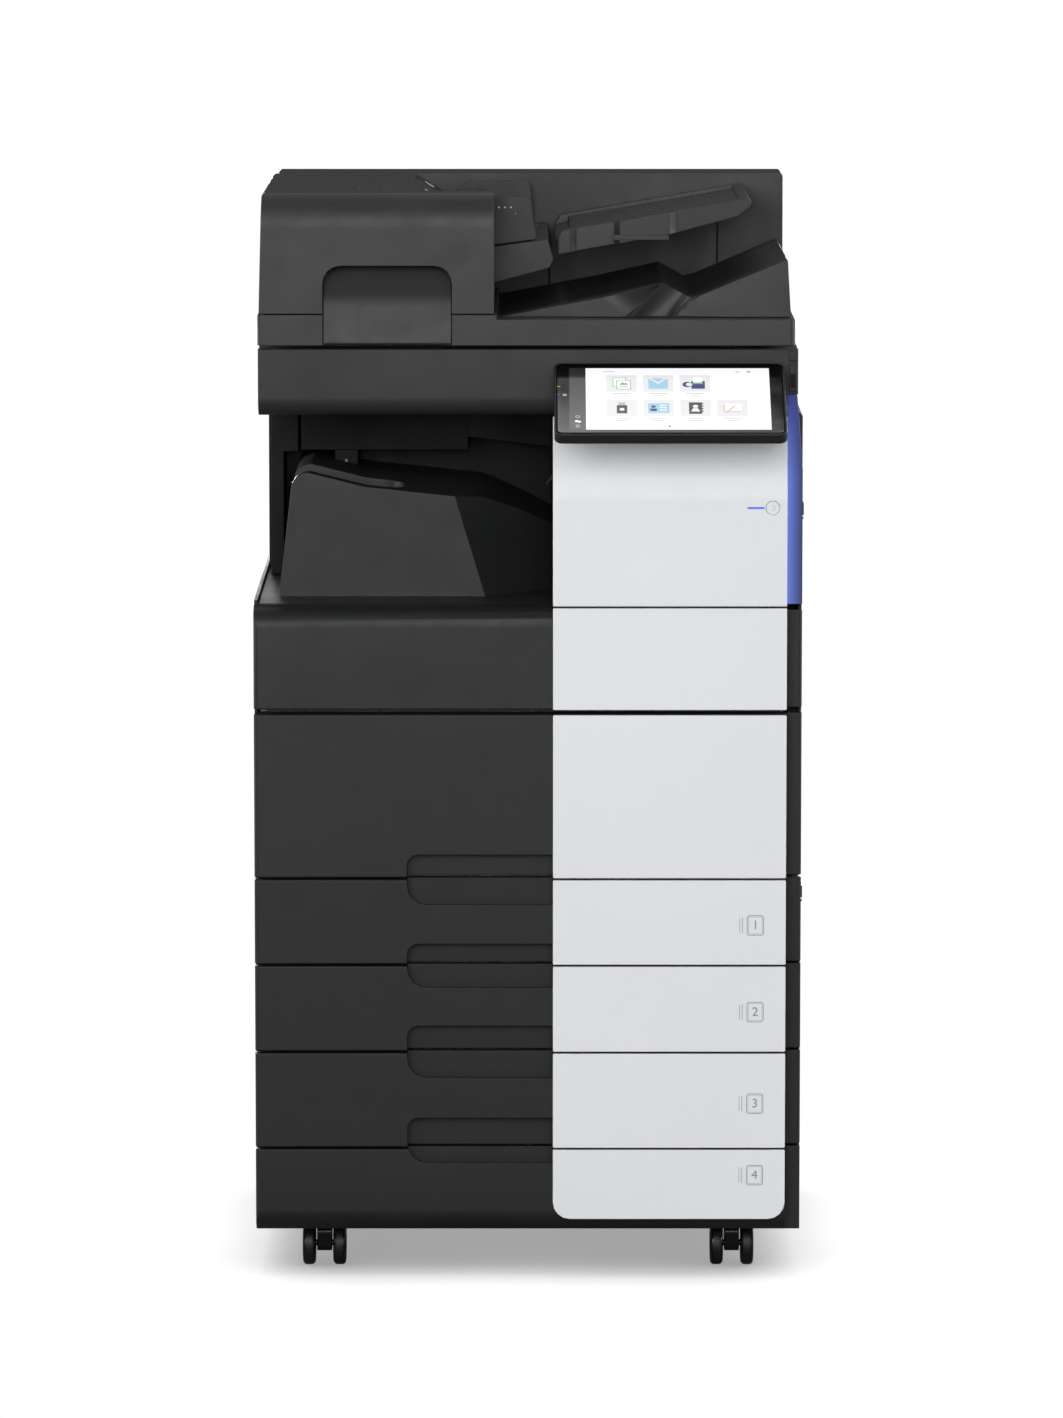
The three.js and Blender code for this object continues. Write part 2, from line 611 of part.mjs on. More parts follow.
// The feeder's mechanism body: a housing, the sloping table that originals start on, and the lifting grip.
function feederBody() {
  const low = COVER_BOTTOM - 1 + AIR;
  const housing = cut(
    block(-290, TABLE.left + 2, -160, FEEDER_BACK - 4, low, 1196),
    block(-284, TABLE.left - 4, -150, FEEDER_BACK - 12, low + 5, 1200),
  );
  const plinth = block(TABLE.left, -50, TABLE.front + 6, TABLE.back - 6, low, 1106);
  const table = prism(
    "y",
    outline([
      [TABLE.left, 1144], [22.5, 1168.4, 2], [28.6, 1146, 2], [24, 1136], [-35, 1120.5], [TABLE.left, 1100],
    ]),
    TABLE.front, TABLE.back,
  );
  const grip = outline([
    [-168.4, LID_BOTTOM + AIR], [-198, LID_BOTTOM + AIR, 3], [-192, 1104, 60], [-174, GRIP.top - 1],
    [-159, GRIP.top - 1], [-159, low], [-168.4, low],
  ]);
  const tongue = prism("x", grip, GRIP.left + 0.5, GRIP.right - 0.5);
  const bridge = block(TABLE.left, GRIP.right - 0.5, -160, TABLE.front + 8, low, 1106);
  const lugs = [-4, 88].map((y) => {
    const ear = block(PICKUP.x - 9, PICKUP.x + 9, y, y + 6, 1130, PICKUP.z + 8);
    return ear.subtract(bar("y", PICKUP.x, PICKUP.z, 3.6, y - 1, y + 7, 12));
  });
  return part("feeder_body", "dark", join(housing, plinth, table, tongue, bridge, ...lugs));
}

function pickupRoller() {
  const tyre = bar("y", 0, 0, PICKUP.radius, 6, 84, 20);
  const shaft = bar("y", 0, 0, 3, -6, 96, 12);
  return groupAt(PICKUP.x, 0, PICKUP.z, part("pickup_roller", "rubber", join(tyre, shaft)));
}

// The sloping edge of the feeder cover over the originals, from its top down to the right.
const BROW = { left: -131, right: -97, bottom: 1203 };

// The cover that opens to the left over the feed path. Its front-top edge is a wide curve.
function feederCover() {
  const crown = 50;
  const wall = 3;
  const left = -300.5;
  const frontProfile = (inset) => {
    const low = COVER_BOTTOM - (inset ? 1 : 0);
    const centre = TOP - crown * Math.sin(Math.PI / 3.6);
    const arc = [...Array(7).keys()].map((k) => {
      const angle = THREE.MathUtils.degToRad(50 * (1 - k / 6));
      const radius = crown - inset;
      return [-150 - radius * Math.cos(angle), centre + radius * Math.sin(angle)];
    });
    const rear = FEEDER_BACK - 0.6 - inset;
    return outline([[rear, low], [rear, TOP - inset], ...arc, [-200 + inset, low]]);
  };
  const ends = (inset) =>
    outline([
      [left + inset, COVER_BOTTOM - (inset ? 1 : 0)],
      [left + 3.5 + inset, TOP - inset, 4],
      [FEEDER_RIGHT - inset, TOP - inset, 1],
      [FEEDER_RIGHT - inset, COVER_BOTTOM - (inset ? 1 : 0)],
    ]);
  const shaped = (inset) => {
    const along = prism("x", frontProfile(inset), left, FEEDER_RIGHT);
    return along.intersect(prism("y", ends(inset), -201, FEEDER_BACK));
  };
  const outer = shaped(0);
  const mouth = block(BROW.right, FEEDER_RIGHT + 1, -132, FEEDER_BACK + 1, COVER_BOTTOM - 1, TOP + 1);
  const { left: high, right: low, bottom } = BROW;
  const aboveBrow = outline([[high, TOP], [low, bottom], [low + 1, TOP + 1], [high, TOP + 1]]);
  const brow = prism("y", aboveBrow, -132, FEEDER_BACK + 1);
  const slopeShape = outline([
    [high - 4, TOP - wall], [high, TOP], [low, bottom], [low, bottom - 8], [low - 4, bottom - 4],
  ]);
  const slope = prism("y", slopeShape, -134, FEEDER_BACK - 1).intersect(outer);
  const grip = prism(
    "y",
    outline([
      [GRIP.left, COVER_BOTTOM - 1], [GRIP.left, GRIP.top, 20], [GRIP.right, GRIP.top, 20],
      [GRIP.right, COVER_BOTTOM - 1],
    ]),
    -202, -190,
  );
  const leverNotch = block(high + 1, low + 1, 124, 182, 1190, TOP + 1);
  const shell = join(cut(outer, shaped(wall)), slope);
  return part("feeder_cover", "feeder", cut(shell, mouth, brow, grip, leverNotch));
}

// The lever on the cover's right edge that unlatches it.
function releaseLever() {
  const shape = outline([[-128.6, TOP - 1], [-100, 1205.5], [-100, 1200.5], [-128.6, 1217]]);
  return part("release_lever", "dark", prism("y", shape, 125, 181));
}

// The tall cover over the feeder's motors and hinges, along the back.
function feederRearCover() {
  const low = LID_TOP + AIR;
  const shape = outline([
    [-296, COVER_BOTTOM - 0.6], [FEEDER_RIGHT + 4, COVER_BOTTOM - 0.6], [FEEDER_RIGHT + 4, low], [297, low],
    [297, TOP, 4], [-293, TOP, 4],
  ]);
  const hollow = outline([
    [-292, COVER_BOTTOM - 2], [FEEDER_RIGHT + 1, COVER_BOTTOM - 2], [FEEDER_RIGHT + 1, low - 2],
    [293.5, low - 2], [293.5, TOP - 3.5], [-289.5, TOP - 3.5],
  ]);
  const outer = prism("y", shape, FEEDER_BACK, 300);
  const inner = prism("y", hollow, FEEDER_BACK + SHEET, 300 - SHEET);
  return part("feeder_rear_cover", "feeder", outer.subtract(inner));
}

// The tray for returned originals: a long rise, a valley, and a steep rise at the right end.
function feederExitTray() {
  const low = LID_TOP + AIR;
  const line = (drop, start) => [
    [start, low - (drop ? 1 : 0)], [2 + drop, 1091 - drop], [80.6, 1105.8 - drop], [151, 1121.5 - drop, 6],
    [181.3, 1105.8 - drop, 5], [192.4 + drop / 2, 1108 - drop], [290.7 - drop / 2, 1149.4 - drop * 1.5, 2],
    [294.4 - drop, low - (drop ? 1 : 0)],
  ];
  const outer = prism("y", outline(line(0, -31)), -165, TABLE.back + 4);
  const hollow = prism("y", outline(line(4, 6)), -161, TABLE.back);
  const lined = join(cut(outer, hollow), fingerScoop(30).intersect(outer));
  return part("feeder_exit_tray", "feeder", lined.subtract(fingerScoop(26)));
}

// The round scoop in the exit tray's front, for fingers to reach under the sheets. It leans to the right.
function fingerScoop(radius) {
  const lean = THREE.MathUtils.degToRad(47);
  const round = new THREE.CylinderGeometry(radius, radius, 120, 28).rotateX(Math.PI / 2).rotateY(lean);
  const reach = block(60, 260, -200, -120, LID_TOP + 1, 1180);
  return solid(round.translate(138, -181.6, LID_TOP + 2)).intersect(reach);
}

const TRAY_PIVOT = { x: 31, z: 1150 };

// The tray that originals wait on. It slopes up to the right from its pivot and can be lifted.
function documentTray() {
  const section = outline([
    [2, 0.5, 2], [0, 17, 3], [7, 27.4], [216.3, 63.3, 2], [221, 59, 1], [218.5, 53.2], [206, 43], [137.7, 25],
  ]);
  const plan = outline([
    [-1, -100], [2, -112, 4], [17, -112, 4], [23, -106, 3], [66, -106, 2], [72, -114, 3], [128, -114, 3],
    [136, -104, 3], [222, -98, 4], [222, 200, 6], [-1, 200],
  ]);
  const slab = prism("y", section, -120, 201).intersect(prism("z", plan, -10, 70));
  const sunk = outline([[16, 24], [208, 57], [204, 75], [12, 42]]);
  const bed = prism("y", sunk, -84, 190);
  const lowered = outline([[-2, 15], [16, 18.6], [16, 45], [-2, 45]]);
  const throat = prism("y", lowered, -84, 190);
  return groupAt(TRAY_PIVOT.x, 0, TRAY_PIVOT.z, part("document_tray", "feeder", cut(slab, bed, throat)));
}

// A paper guide standing on the table: a plate and the foot that slides in the table's slots.
function paperGuide(name, plateFront, plateBack, footFront, footBack, corners) {
  const plate = prism("y", outline(corners), plateFront, plateBack);
  const foot = outline([[-84, 1155.6], [5, 1167.6], [5, 1170.1], [-84, 1158.1]]);
  return part(name, "dark", join(plate, prism("y", foot, footFront, footBack)));
}

function frontGuide() {
  const corners = [
    [-88, 1155.1], [-88, 1202], [-70, 1217, 6], [2, 1215.6, 7], [10, 1168.6], [7, 1167.9],
  ];
  return paperGuide("front_guide", -113, -109.5, -110, -62, corners);
}

function rearGuide() {
  const corners = [
    [-86, 1155.4], [-84, 1204, 4], [-68, 1217, 6], [2, 1216.5, 8], [6, 1180], [6, 1167.8],
  ];
  return paperGuide("rear_guide", 188.5, 192, 140, 190, corners);
}

// ---- Control panel, built flat about its pivot and tilted by its group ----

const PANEL_HALF = 128.2;
const PANEL_FRONT = -110.4;
const PANEL_REAR = 39.9;
const PANEL_FACE = 12.3;

function controlPanel() {
  const rounded = (inset, radius) =>
    outline([
      [-PANEL_HALF + inset, PANEL_FRONT + inset, radius], [PANEL_HALF - inset, PANEL_FRONT + inset, radius],
      [PANEL_HALF - inset, PANEL_REAR - inset, radius], [-PANEL_HALF + inset, PANEL_REAR - inset, radius],
    ]);
  const plate = prism("z", rounded(0, 9), -0.7, PANEL_FACE - 0.4);
  const bulge = prism("x", outline([[-82, 0], [-72, -9, 3], [22, -9, 3], [30, 0]]), -95, 105);
  const pocket = prism("z", rounded(3, 6), PANEL_FACE - 3.2, PANEL_FACE + 1);
  const barrelRoom = join(bar("x", 0, 0, 6.4, -37, 37, 16), block(-37, 37, -6.4, 34, -10, 0));
  const housing = cut(join(plate, bulge), pocket, barrelRoom);
  const group = groupAt(
    PANEL_CENTRE, PANEL_PIVOT.y, PANEL_PIVOT.z,
    part("panel_housing", "dark", housing),
    part("touch_screen", "glass", prism("z", rounded(3.4, 5.6), PANEL_FACE - 2.9, PANEL_FACE)),
  );
  group.rotation.x = THREE.MathUtils.degToRad(PANEL_TILT);
  return group;
}

// The panel's arm: a foot on the scanner's front and a tongue that ends in the tilt barrel.
function panelArm() {
  const { y, z } = PANEL_PIVOT;
  const foot = block(-36, 36, -206, SCANNER_FRONT - AIR, 997, 1012);
  const tongue = prism("x", outline([[y, z - 5], [-204, 998], [-204, 1006], [y, z + 3]]), -36, 36);
  const barrel = bar("x", y, z, 5, -36, 36, 16);
  return groupAt(PANEL_CENTRE, 0, 0, part("panel_arm", "dark", join(foot, tongue, barrel)));
}

// ---- Engine internals ----

function tonerCartridge() {
  const { x, z, radius } = TONER;
  const bottle = bar("y", x, z, radius, -165, 140, 28);
  const cap = bar("y", x, z, radius - 6, -174, -164, 28);
  const handle = block(x - 22, x + 22, -182, -170, z - 5, z + 5);
  return part("toner_cartridge", "dark", join(bottle, cap, handle));
}

// A roller along Y with its shaft running in the frame's plates.
function roller(name, finish, { x, z, radius }) {
  const barrel = bar("y", 0, 0, radius, ROLLER_FRONT, ROLLER_BACK, 28);
  const shaft = bar("y", 0, 0, SHAFT, -172, 194, 16);
  return groupAt(x, 0, z, part(name, finish, join(barrel, shaft)));
}

// ---- Right-hand side ----

const RIGHT_SKIN_IN = 303.8;
const RIGHT_SKIN_OUT = 307.2;
const LEVER_OUT = 309.5; // how far the doors' finger levers stand out
const RIGHT_DOOR = { low: 459, high: 905 };
const BYPASS = { low: 502, high: 718, front: -139, back: 149 };

// The right-hand door: a skin with a finger lever, and the inner half of the vertical paper path. Its outside
// holds a recess for the bypass tray, with the paper slot at the recess's foot.
function rightDoor() {
  const { low, high } = RIGHT_DOOR;
  const skin = block(RIGHT_SKIN_IN, RIGHT_SKIN_OUT, SHELL_FRONT + 0.8, DOOR_BACK, low, high);
  const path = block(268, RIGHT_SKIN_IN + 1, -156, 186, 470, 740);
  const pathHollow = block(272, RIGHT_SKIN_IN, -152, 182, 724, 741);
  const recess = block(285, 310, BYPASS.front - 1, BYPASS.back + 1, BYPASS.low - 1.5, BYPASS.high + 1);
  const hollowLow = block(272, RIGHT_SKIN_IN, -152, 182, 469, 496);
  const slot = block(260, 290, -125, 135, 503, 513);
  const pocket = block(272, 281, -152, 182, 518, 745);
  const lever = block(RIGHT_SKIN_OUT - 1, LEVER_OUT, -172, -120, 862, 876);
  const ribs = [-100, 0, 100].map((y) => block(280, RIGHT_SKIN_IN + 1, y - 2, y + 2, 738, 880));
  const body = cut(join(skin, path), recess, pathHollow, hollowLow, pocket, slot);
  return part("right_door", "cabinet", join(body, lever, ...ribs));
}

function bypassTray() {
  const { low, high, front, back } = BYPASS;
  const slab = block(290, RIGHT_SKIN_OUT - 0.4, front, back, low, high);
  const bed = block(289, 294, front + 8, back - 8, low - 1, high - 12);
  return part("bypass_tray", "cabinet", slab.subtract(bed));
}

function cabinetSideDoor() {
  const skin = block(RIGHT_SKIN_IN, RIGHT_SKIN_OUT, SHELL_FRONT + 0.8, DOOR_BACK, SKIRT_BOTTOM + 9, 452);
  const lever = block(RIGHT_SKIN_OUT - 1, LEVER_OUT, -172, -120, 428, 442);
  const ribs = [90, 250, 400].map((z) => block(292, RIGHT_SKIN_IN + 1, -150, 180, z - 2, z + 2));
  return part("cabinet_side_door", "cabinet", join(skin, lever, ...ribs));
}

// ---- Casters ----

const CASTER = { x: 232, front: -120, rear: 262, radius: 25, trail: 18 };

// A twin-wheel caster about its swivel axis: a housing between the wheels, and the wheels on one axle.
function caster(name, x, y) {
  const { radius, trail } = CASTER;
  const axleHeight = radius * Math.cos(Math.PI / 28);
  const stem = bar("z", 0, 0, 16, 51.5, BASE_BOTTOM - AIR, 24);
  const web = prism(
    "x",
    outline([
      [-trail - 9, 16, 8], [-trail - 12, 44, 12], [-14, 53], [14, 53], [4, 30, 12], [-trail + 9, 16, 8],
    ]),
    -8.5, 8.5,
  );
  const fork = join(stem, web).subtract(bar("x", -trail, axleHeight, 4.5, -9, 9, 14));
  const wheels = join(
    bar("x", 0, 0, radius, -25, -10, 28),
    bar("x", 0, 0, radius, 10, 25, 28),
    bar("x", 0, 0, 3.8, -11, 11, 14),
  );
  const wheelGroup = groupAt(0, -trail, axleHeight, part(`${name}_wheels`, "rubber", wheels));
  return groupAt(x, y, 0, part(`${name}_fork`, "dark", fork), wheelGroup);
}

// ---- The whole machine ----

const photocopier = new THREE.Group();
photocopier.add(
  chassisFrame(),
  leftCover(),
  rearCover(),
  powerInlet(),
  rightPillarCover(),
  columnFrontCover(),
  powerKey(),
  statusLight(),
  outputTray(),
  bayRearCover(),
  scannerHousing(),
  platenGlass(),
  scanCarriage(),
  lidHinge("left"),
  lidHinge("right"),
  feederBase(),
  platenPad(),
  feederBody(),
  pickupRoller(),
  feederCover(),
  releaseLever(),
  feederRearCover(),
  feederExitTray(),
  documentTray(),
  frontGuide(),
  rearGuide(),
  controlPanel(),
  panelArm(),
  upperDoor(),
  lowerDoor(),
  tonerCartridge(),
  roller("photoconductor_drum", "drum", DRUM),
  roller("heat_roller", "dark", HEAT_ROLLER),
  roller("pressure_roller", "rubber", PRESSURE_ROLLER),
  rightDoor(),
  bypassTray(),
  cabinetSideDoor(),
);
[1, 2, 3, 4].forEach((number) => photocopier.add(drawer(number)));
photocopier.add(
  caster("caster_front_left", -CASTER.x, CASTER.front),
  caster("caster_front_right", CASTER.x, CASTER.front),
  caster("caster_rear_left", -CASTER.x, CASTER.rear),
  caster("caster_rear_right", CASTER.x, CASTER.rear),
);

export default photocopier;
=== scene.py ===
import json
import math

import bmesh
import bpy
from mathutils import Matrix, Vector

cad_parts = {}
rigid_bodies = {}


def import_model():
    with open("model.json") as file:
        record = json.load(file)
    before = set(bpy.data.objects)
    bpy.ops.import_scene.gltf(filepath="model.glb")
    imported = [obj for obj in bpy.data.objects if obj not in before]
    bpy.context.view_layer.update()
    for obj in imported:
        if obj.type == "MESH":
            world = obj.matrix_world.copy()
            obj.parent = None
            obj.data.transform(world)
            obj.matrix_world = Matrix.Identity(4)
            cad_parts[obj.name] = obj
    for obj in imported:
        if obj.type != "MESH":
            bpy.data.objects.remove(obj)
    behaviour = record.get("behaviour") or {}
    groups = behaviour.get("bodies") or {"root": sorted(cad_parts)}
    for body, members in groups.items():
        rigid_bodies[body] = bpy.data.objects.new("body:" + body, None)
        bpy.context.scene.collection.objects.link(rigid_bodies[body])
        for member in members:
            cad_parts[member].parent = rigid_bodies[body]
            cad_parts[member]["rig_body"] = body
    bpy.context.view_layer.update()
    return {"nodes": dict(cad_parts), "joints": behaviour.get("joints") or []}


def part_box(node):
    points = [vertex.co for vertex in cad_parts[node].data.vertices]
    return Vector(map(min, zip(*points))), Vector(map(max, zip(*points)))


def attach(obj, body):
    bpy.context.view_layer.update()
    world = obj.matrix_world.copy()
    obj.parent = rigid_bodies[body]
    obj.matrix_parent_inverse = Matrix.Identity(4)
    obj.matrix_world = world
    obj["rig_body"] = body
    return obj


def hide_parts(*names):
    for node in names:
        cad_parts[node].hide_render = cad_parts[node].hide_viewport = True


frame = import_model()
MM = 0.001  # every length below is in millimetres and is made metres as it is used


# ---- Sheet-metal frame ----
# The frame is folded from galvanised steel sheet, spot welded, and carries everything else. The drawers run in
# channels screwed to its side walls, and a painted inner cover closes it behind the front doors.


def linear(code):
    """The linear colour of a six-digit hexadecimal one."""
    parts = [int(code[i : i + 2], 16) / 255 for i in (0, 2, 4)]
    return [*(p / 12.92 if p <= 0.04045 else ((p + 0.055) / 1.055) ** 2.4 for p in parts), 1.0]


def corners_of(node):
    """A CAD node's lowest and highest corners at rest, in mm."""
    return [corner * 1000 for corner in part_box(node)]


def filled(node, values):
    """Sets the values of a shader node's sockets."""
    for label, value in values.items():
        node.inputs[label].default_value = value
    return node


def wired(tree, kind, values=(), sources=()):
    """A new shader node with values on some sockets and other nodes' outputs joined to others."""
    node = filled(tree.nodes.new(kind), dict(values))
    for label, output in dict(sources).items():
        tree.links.new(output, node.inputs[label])
    return node


def object_place(tree):
    return tree.nodes.new("ShaderNodeTexCoord").outputs["Object"]


def started(name, values):
    """A new material with values set on its Principled shader."""
    material = bpy.data.materials.new(name)
    material.use_nodes = True
    tree = material.node_tree
    return material, tree, filled(tree.nodes["Principled BSDF"], values)


def texture_group(name, numbers, outputs):
    """An empty shader group that takes a position and named numbers, with its input and output nodes."""
    group = bpy.data.node_groups.new(name, "ShaderNodeTree")
    group.interface.new_socket("Position", in_out="INPUT", socket_type="NodeSocketVector")
    for label, value in numbers.items():
        socket = group.interface.new_socket(label, in_out="INPUT", socket_type="NodeSocketFloat")
        socket.default_value = value
    for label in outputs:
        group.interface.new_socket(label, in_out="OUTPUT", socket_type="NodeSocketFloat")
    return group, group.nodes.new("NodeGroupInput"), group.nodes.new("NodeGroupOutput")


def noise(group, source, scale, detail, distortion, name):
    """A noise texture in a group, whose scale is one of the group's own inputs."""
    node = wired(
        group, "ShaderNodeTexNoise", {"Detail": detail, "Distortion": distortion},
        {"Vector": source.outputs["Position"], "Scale": source.outputs[scale]},
    )
    node.label = name
    return node.outputs[0]


def spread_out(group, value, low, high):
    """Stretches the middle of a texture's values to the whole range from 0 to 1."""
    node = wired(group, "ShaderNodeMapRange", {"From Min": low, "From Max": high}, {"Value": value})
    return node.outputs["Result"]


moulded_skin, skin_in, skin_out = texture_group(
    "moulded_skin", {"Grain": 1500.0, "Clouds": 5.0, "Handling": 16.0}, ("Height", "Tone", "Gloss")
)
grain = noise(moulded_skin, skin_in, "Grain", 3.0, 0.0, "spark eroded grain")
clouds = noise(moulded_skin, skin_in, "Clouds", 4.0, 0.4, "flow of the melt")
handling = noise(moulded_skin, skin_in, "Handling", 5.0, 1.6, "wiped and handled patches")
moulded_skin.links.new(grain, skin_out.inputs["Height"])
moulded_skin.links.new(spread_out(moulded_skin, clouds, 0.3, 0.7), skin_out.inputs["Tone"])
moulded_skin.links.new(spread_out(moulded_skin, handling, 0.3, 0.7), skin_out.inputs["Gloss"])

rolled_skin, rolled_in, rolled_out = texture_group(
    "rolled_skin", {"Spangle": 140.0, "Streak": 40.0}, ("Height", "Tone", "Gloss")
)
spangle = wired(
    rolled_skin, "ShaderNodeTexVoronoi", (),
    {"Vector": rolled_in.outputs["Position"], "Scale": rolled_in.outputs["Spangle"]},
)
streaks = noise(rolled_skin, rolled_in, "Streak", 6.0, 2.5, "drawn streaks")
rolled_skin.links.new(spangle.outputs["Color"], rolled_out.inputs["Tone"])
rolled_skin.links.new(streaks, rolled_out.inputs["Height"])
rolled_skin.links.new(spread_out(rolled_skin, streaks, 0.25, 0.75), rolled_out.inputs["Gloss"])


def finish(name, code, roughness, skin, numbers, spread=0.05, relief=0.1, gloss_spread=0.05, fixed=()):
    """A material whose colour, gloss and relief vary through one of the skin groups, with its own values."""
    material, tree, shader = started(name, dict(fixed))
    texture = tree.nodes.new("ShaderNodeGroup")
    texture.node_tree = skin
    filled(texture, numbers)
    tree.links.new(object_place(tree), texture.inputs["Position"])
    tint = tree.nodes.new("ShaderNodeMix")
    tint.data_type = "RGBA"
    middle = linear(code)
    tint.inputs["A"].default_value = [c * (1 - spread) for c in middle[:3]] + [1.0]
    tint.inputs["B"].default_value = [min(c * (1 + spread), 1.0) for c in middle[:3]] + [1.0]
    tree.links.new(texture.outputs["Tone"], tint.inputs["Factor"])
    tree.links.new(tint.outputs["Result"], shader.inputs["Base Color"])
    limits = {"To Min": max(roughness - gloss_spread, 0.02), "To Max": min(roughness + gloss_spread, 1.0)}
    sheen = wired(tree, "ShaderNodeMapRange", limits, {"Value": texture.outputs["Gloss"]})
    tree.links.new(sheen.outputs["Result"], shader.inputs["Roughness"])
    depth = {"Strength": relief, "Distance": 0.0002}
    bump = wired(tree, "ShaderNodeBump", depth, {"Height": texture.outputs["Height"]})
    tree.links.new(bump.outputs["Normal"], shader.inputs["Normal"])
    return material


def plastic(name, code, roughness, grain=1500.0, spread=0.04, relief=0.12, fixed=()):
    fixed = {"Specular IOR Level": 0.36, **dict(fixed)}
    return finish(name, code, roughness, moulded_skin, {"Grain": grain}, spread, relief, 0.05, fixed)


def metal(name, code, roughness, spangle_scale=140.0, spread=0.12):
    numbers = {"Spangle": spangle_scale}
    return finish(name, code, roughness, rolled_skin, numbers, spread, 0.15, 0.08, {"Metallic": 1.0})


def slab(bm, x, y, z, edge=0.0, segments=2, paint=0):
    """A box between two sides on each axis, with its edges rounded."""
    before = set(bm.faces)
    made = bmesh.ops.create_cube(bm, size=1.0)["verts"]
    sides = [(min(pair), max(pair)) for pair in (x, y, z)]
    bmesh.ops.scale(bm, verts=made, vec=[(high - low) * MM for low, high in sides])
    bmesh.ops.translate(bm, verts=made, vec=[(high + low) / 2 * MM for low, high in sides])
    if edge:
        rounded(bm, list({e for v in made for e in v.link_edges}), edge, segments)
    for face in set(bm.faces) - before:
        face.material_index = paint


def rounded(bm, edges, width, segments=2, clamp=True):
    """Rounds these edges to about this radius."""
    return bmesh.ops.bevel(
        bm, geom=edges, offset=width * MM, offset_type="OFFSET", segments=segments, profile=0.5,
        affect="EDGES", material=-1, clamp_overlap=clamp,
    )


def rod(bm, start, end, radius, sides=24, end_radius=None, edge=0.0, paint=0):
    """A round bar between two points, or a cone where its end has another radius."""
    before = set(bm.faces)
    start, end = Vector(start) * MM, Vector(end) * MM
    along = end - start
    turn = along.to_track_quat("Z", "Y").to_matrix().to_4x4()
    made = bmesh.ops.create_cone(
        bm, cap_ends=True, cap_tris=False, segments=sides, radius1=radius * MM,
        radius2=(radius if end_radius is None else end_radius) * MM, depth=along.length,
        matrix=Matrix.Translation((start + end) / 2) @ turn,
    )["verts"]
    if edge:
        rims = {e for v in made for e in v.link_edges if any(len(f.verts) > 4 for f in e.link_faces)}
        rounded(bm, list(rims), edge)
    for face in set(bm.faces) - before:
        face.material_index = paint


def extruded(bm, axis, points, low, high, edge=0.0, paint=0):
    """A flat outline across an axis, thickened along it: (y, z) for x, (x, z) for y and (x, y) for z."""
    before = set(bm.faces)
    placed = {
        "x": lambda a, b, c: (c, a, b), "y": lambda a, b, c: (a, c, b), "z": lambda a, b, c: (a, b, c),
    }[axis]
    corners = [bm.verts.new(Vector(placed(a, b, low)) * MM) for a, b in points]
    face = bm.faces.new(corners)
    grown = bmesh.ops.extrude_face_region(bm, geom=[face])["geom"]
    moved = [g for g in grown if isinstance(g, bmesh.types.BMVert)]
    bmesh.ops.translate(bm, verts=moved, vec=Vector(placed(0, 0, high - low)) * MM)
    made = [f for f in bm.faces if f not in before]
    bmesh.ops.recalc_face_normals(bm, faces=made)
    if edge:
        rounded(bm, list({e for f in made for e in f.edges}), edge)
    for face in set(bm.faces) - before:
        face.material_index = paint


def rounded_corners(x, z, radius, steps=5):
    """The outline of a rectangle with round corners."""
    points = []
    for i, (cx, cz) in enumerate(((x[1], z[1]), (x[0], z[1]), (x[0], z[0]), (x[1], z[0]))):
        inwards = (-1 if cx == x[1] else 1, -1 if cz == z[1] else 1)
        for k in range(steps + 1):
            angle = math.pi / 2 * (i + k / steps)
            points.append((
                cx + inwards[0] * radius + radius * math.cos(angle),
                cz + inwards[1] * radius + radius * math.sin(angle),
            ))
    return points


def turned(bm, centre, axis, profile, steps=40, paint=0):
    """A piece turned about an axis through a point, from (along, radius) pairs that end on the axis."""
    before = set(bm.faces)
    axis = Vector(axis).normalized()
    out = axis.orthogonal().normalized()
    centre = Vector(centre) * MM
    verts = [bm.verts.new(centre + (axis * along + out * radius) * MM) for along, radius in profile]
    edges = [bm.edges.new(pair) for pair in zip(verts, verts[1:])]
    bmesh.ops.spin(
        bm, geom=verts + edges, cent=centre, axis=axis, angle=2 * math.pi, steps=steps, use_merge=True,
        use_duplicate=False,
    )
    made = [f for f in bm.faces if f not in before]
    bmesh.ops.remove_doubles(bm, verts=list({v for f in made for v in f.verts}), dist=1e-6)
    made = [f for f in bm.faces if f not in before]
    bmesh.ops.recalc_face_normals(bm, faces=made)
    for face in made:
        face.material_index = paint


def shown(name, bm, body, slot, *materials, crease=32):
    """Makes a finished piece of what has been modelled, riding on its body."""
    mesh = bpy.data.meshes.new(name)
    bm.to_mesh(mesh)
    bm.free()
    mesh.shade_smooth()
    mesh.set_sharp_from_angle(angle=math.radians(crease))
    for material in materials:
        mesh.materials.append(material)
    piece = bpy.data.objects.new(name, mesh)
    bpy.context.scene.collection.objects.link(piece)
    weighted = piece.modifiers.new("even shading", "WEIGHTED_NORMAL")
    weighted.keep_sharp = True
    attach(piece, body)
    return piece


def merged(node, whole_faces=True):
    """A CAD node's mesh as one closed skin, of whole flat faces unless they are wanted as triangles."""
    bm = bmesh.new()
    bm.from_mesh(frame["nodes"][node].data)
    bmesh.ops.remove_doubles(bm, verts=bm.verts, dist=1e-5)
    for face in bm.faces:
        face.material_index = 0
    if whole_faces:
        bmesh.ops.dissolve_limit(
            bm, angle_limit=math.radians(0.5), verts=bm.verts, edges=bm.edges, use_dissolve_boundaries=False
        )
    return bm


def softened(bm, width, segments=2, above=35):
    """Rounds every edge where two faces meet at more than this angle."""
    corners = [e for e in bm.edges if e.is_manifold and e.calc_face_angle(0) > math.radians(above)]
    rounded(bm, corners, width, segments, clamp=False)
    bmesh.ops.triangulate(bm, faces=[f for f in bm.faces if len(f.verts) > 4])


def stands_for(piece, *nodes):
    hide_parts(*nodes)
    return piece


def carried(node, material):
    """Gives a CAD node that is shown as it is a finished material."""
    data = frame["nodes"][node].data
    data.materials.clear()
    data.materials.append(material)


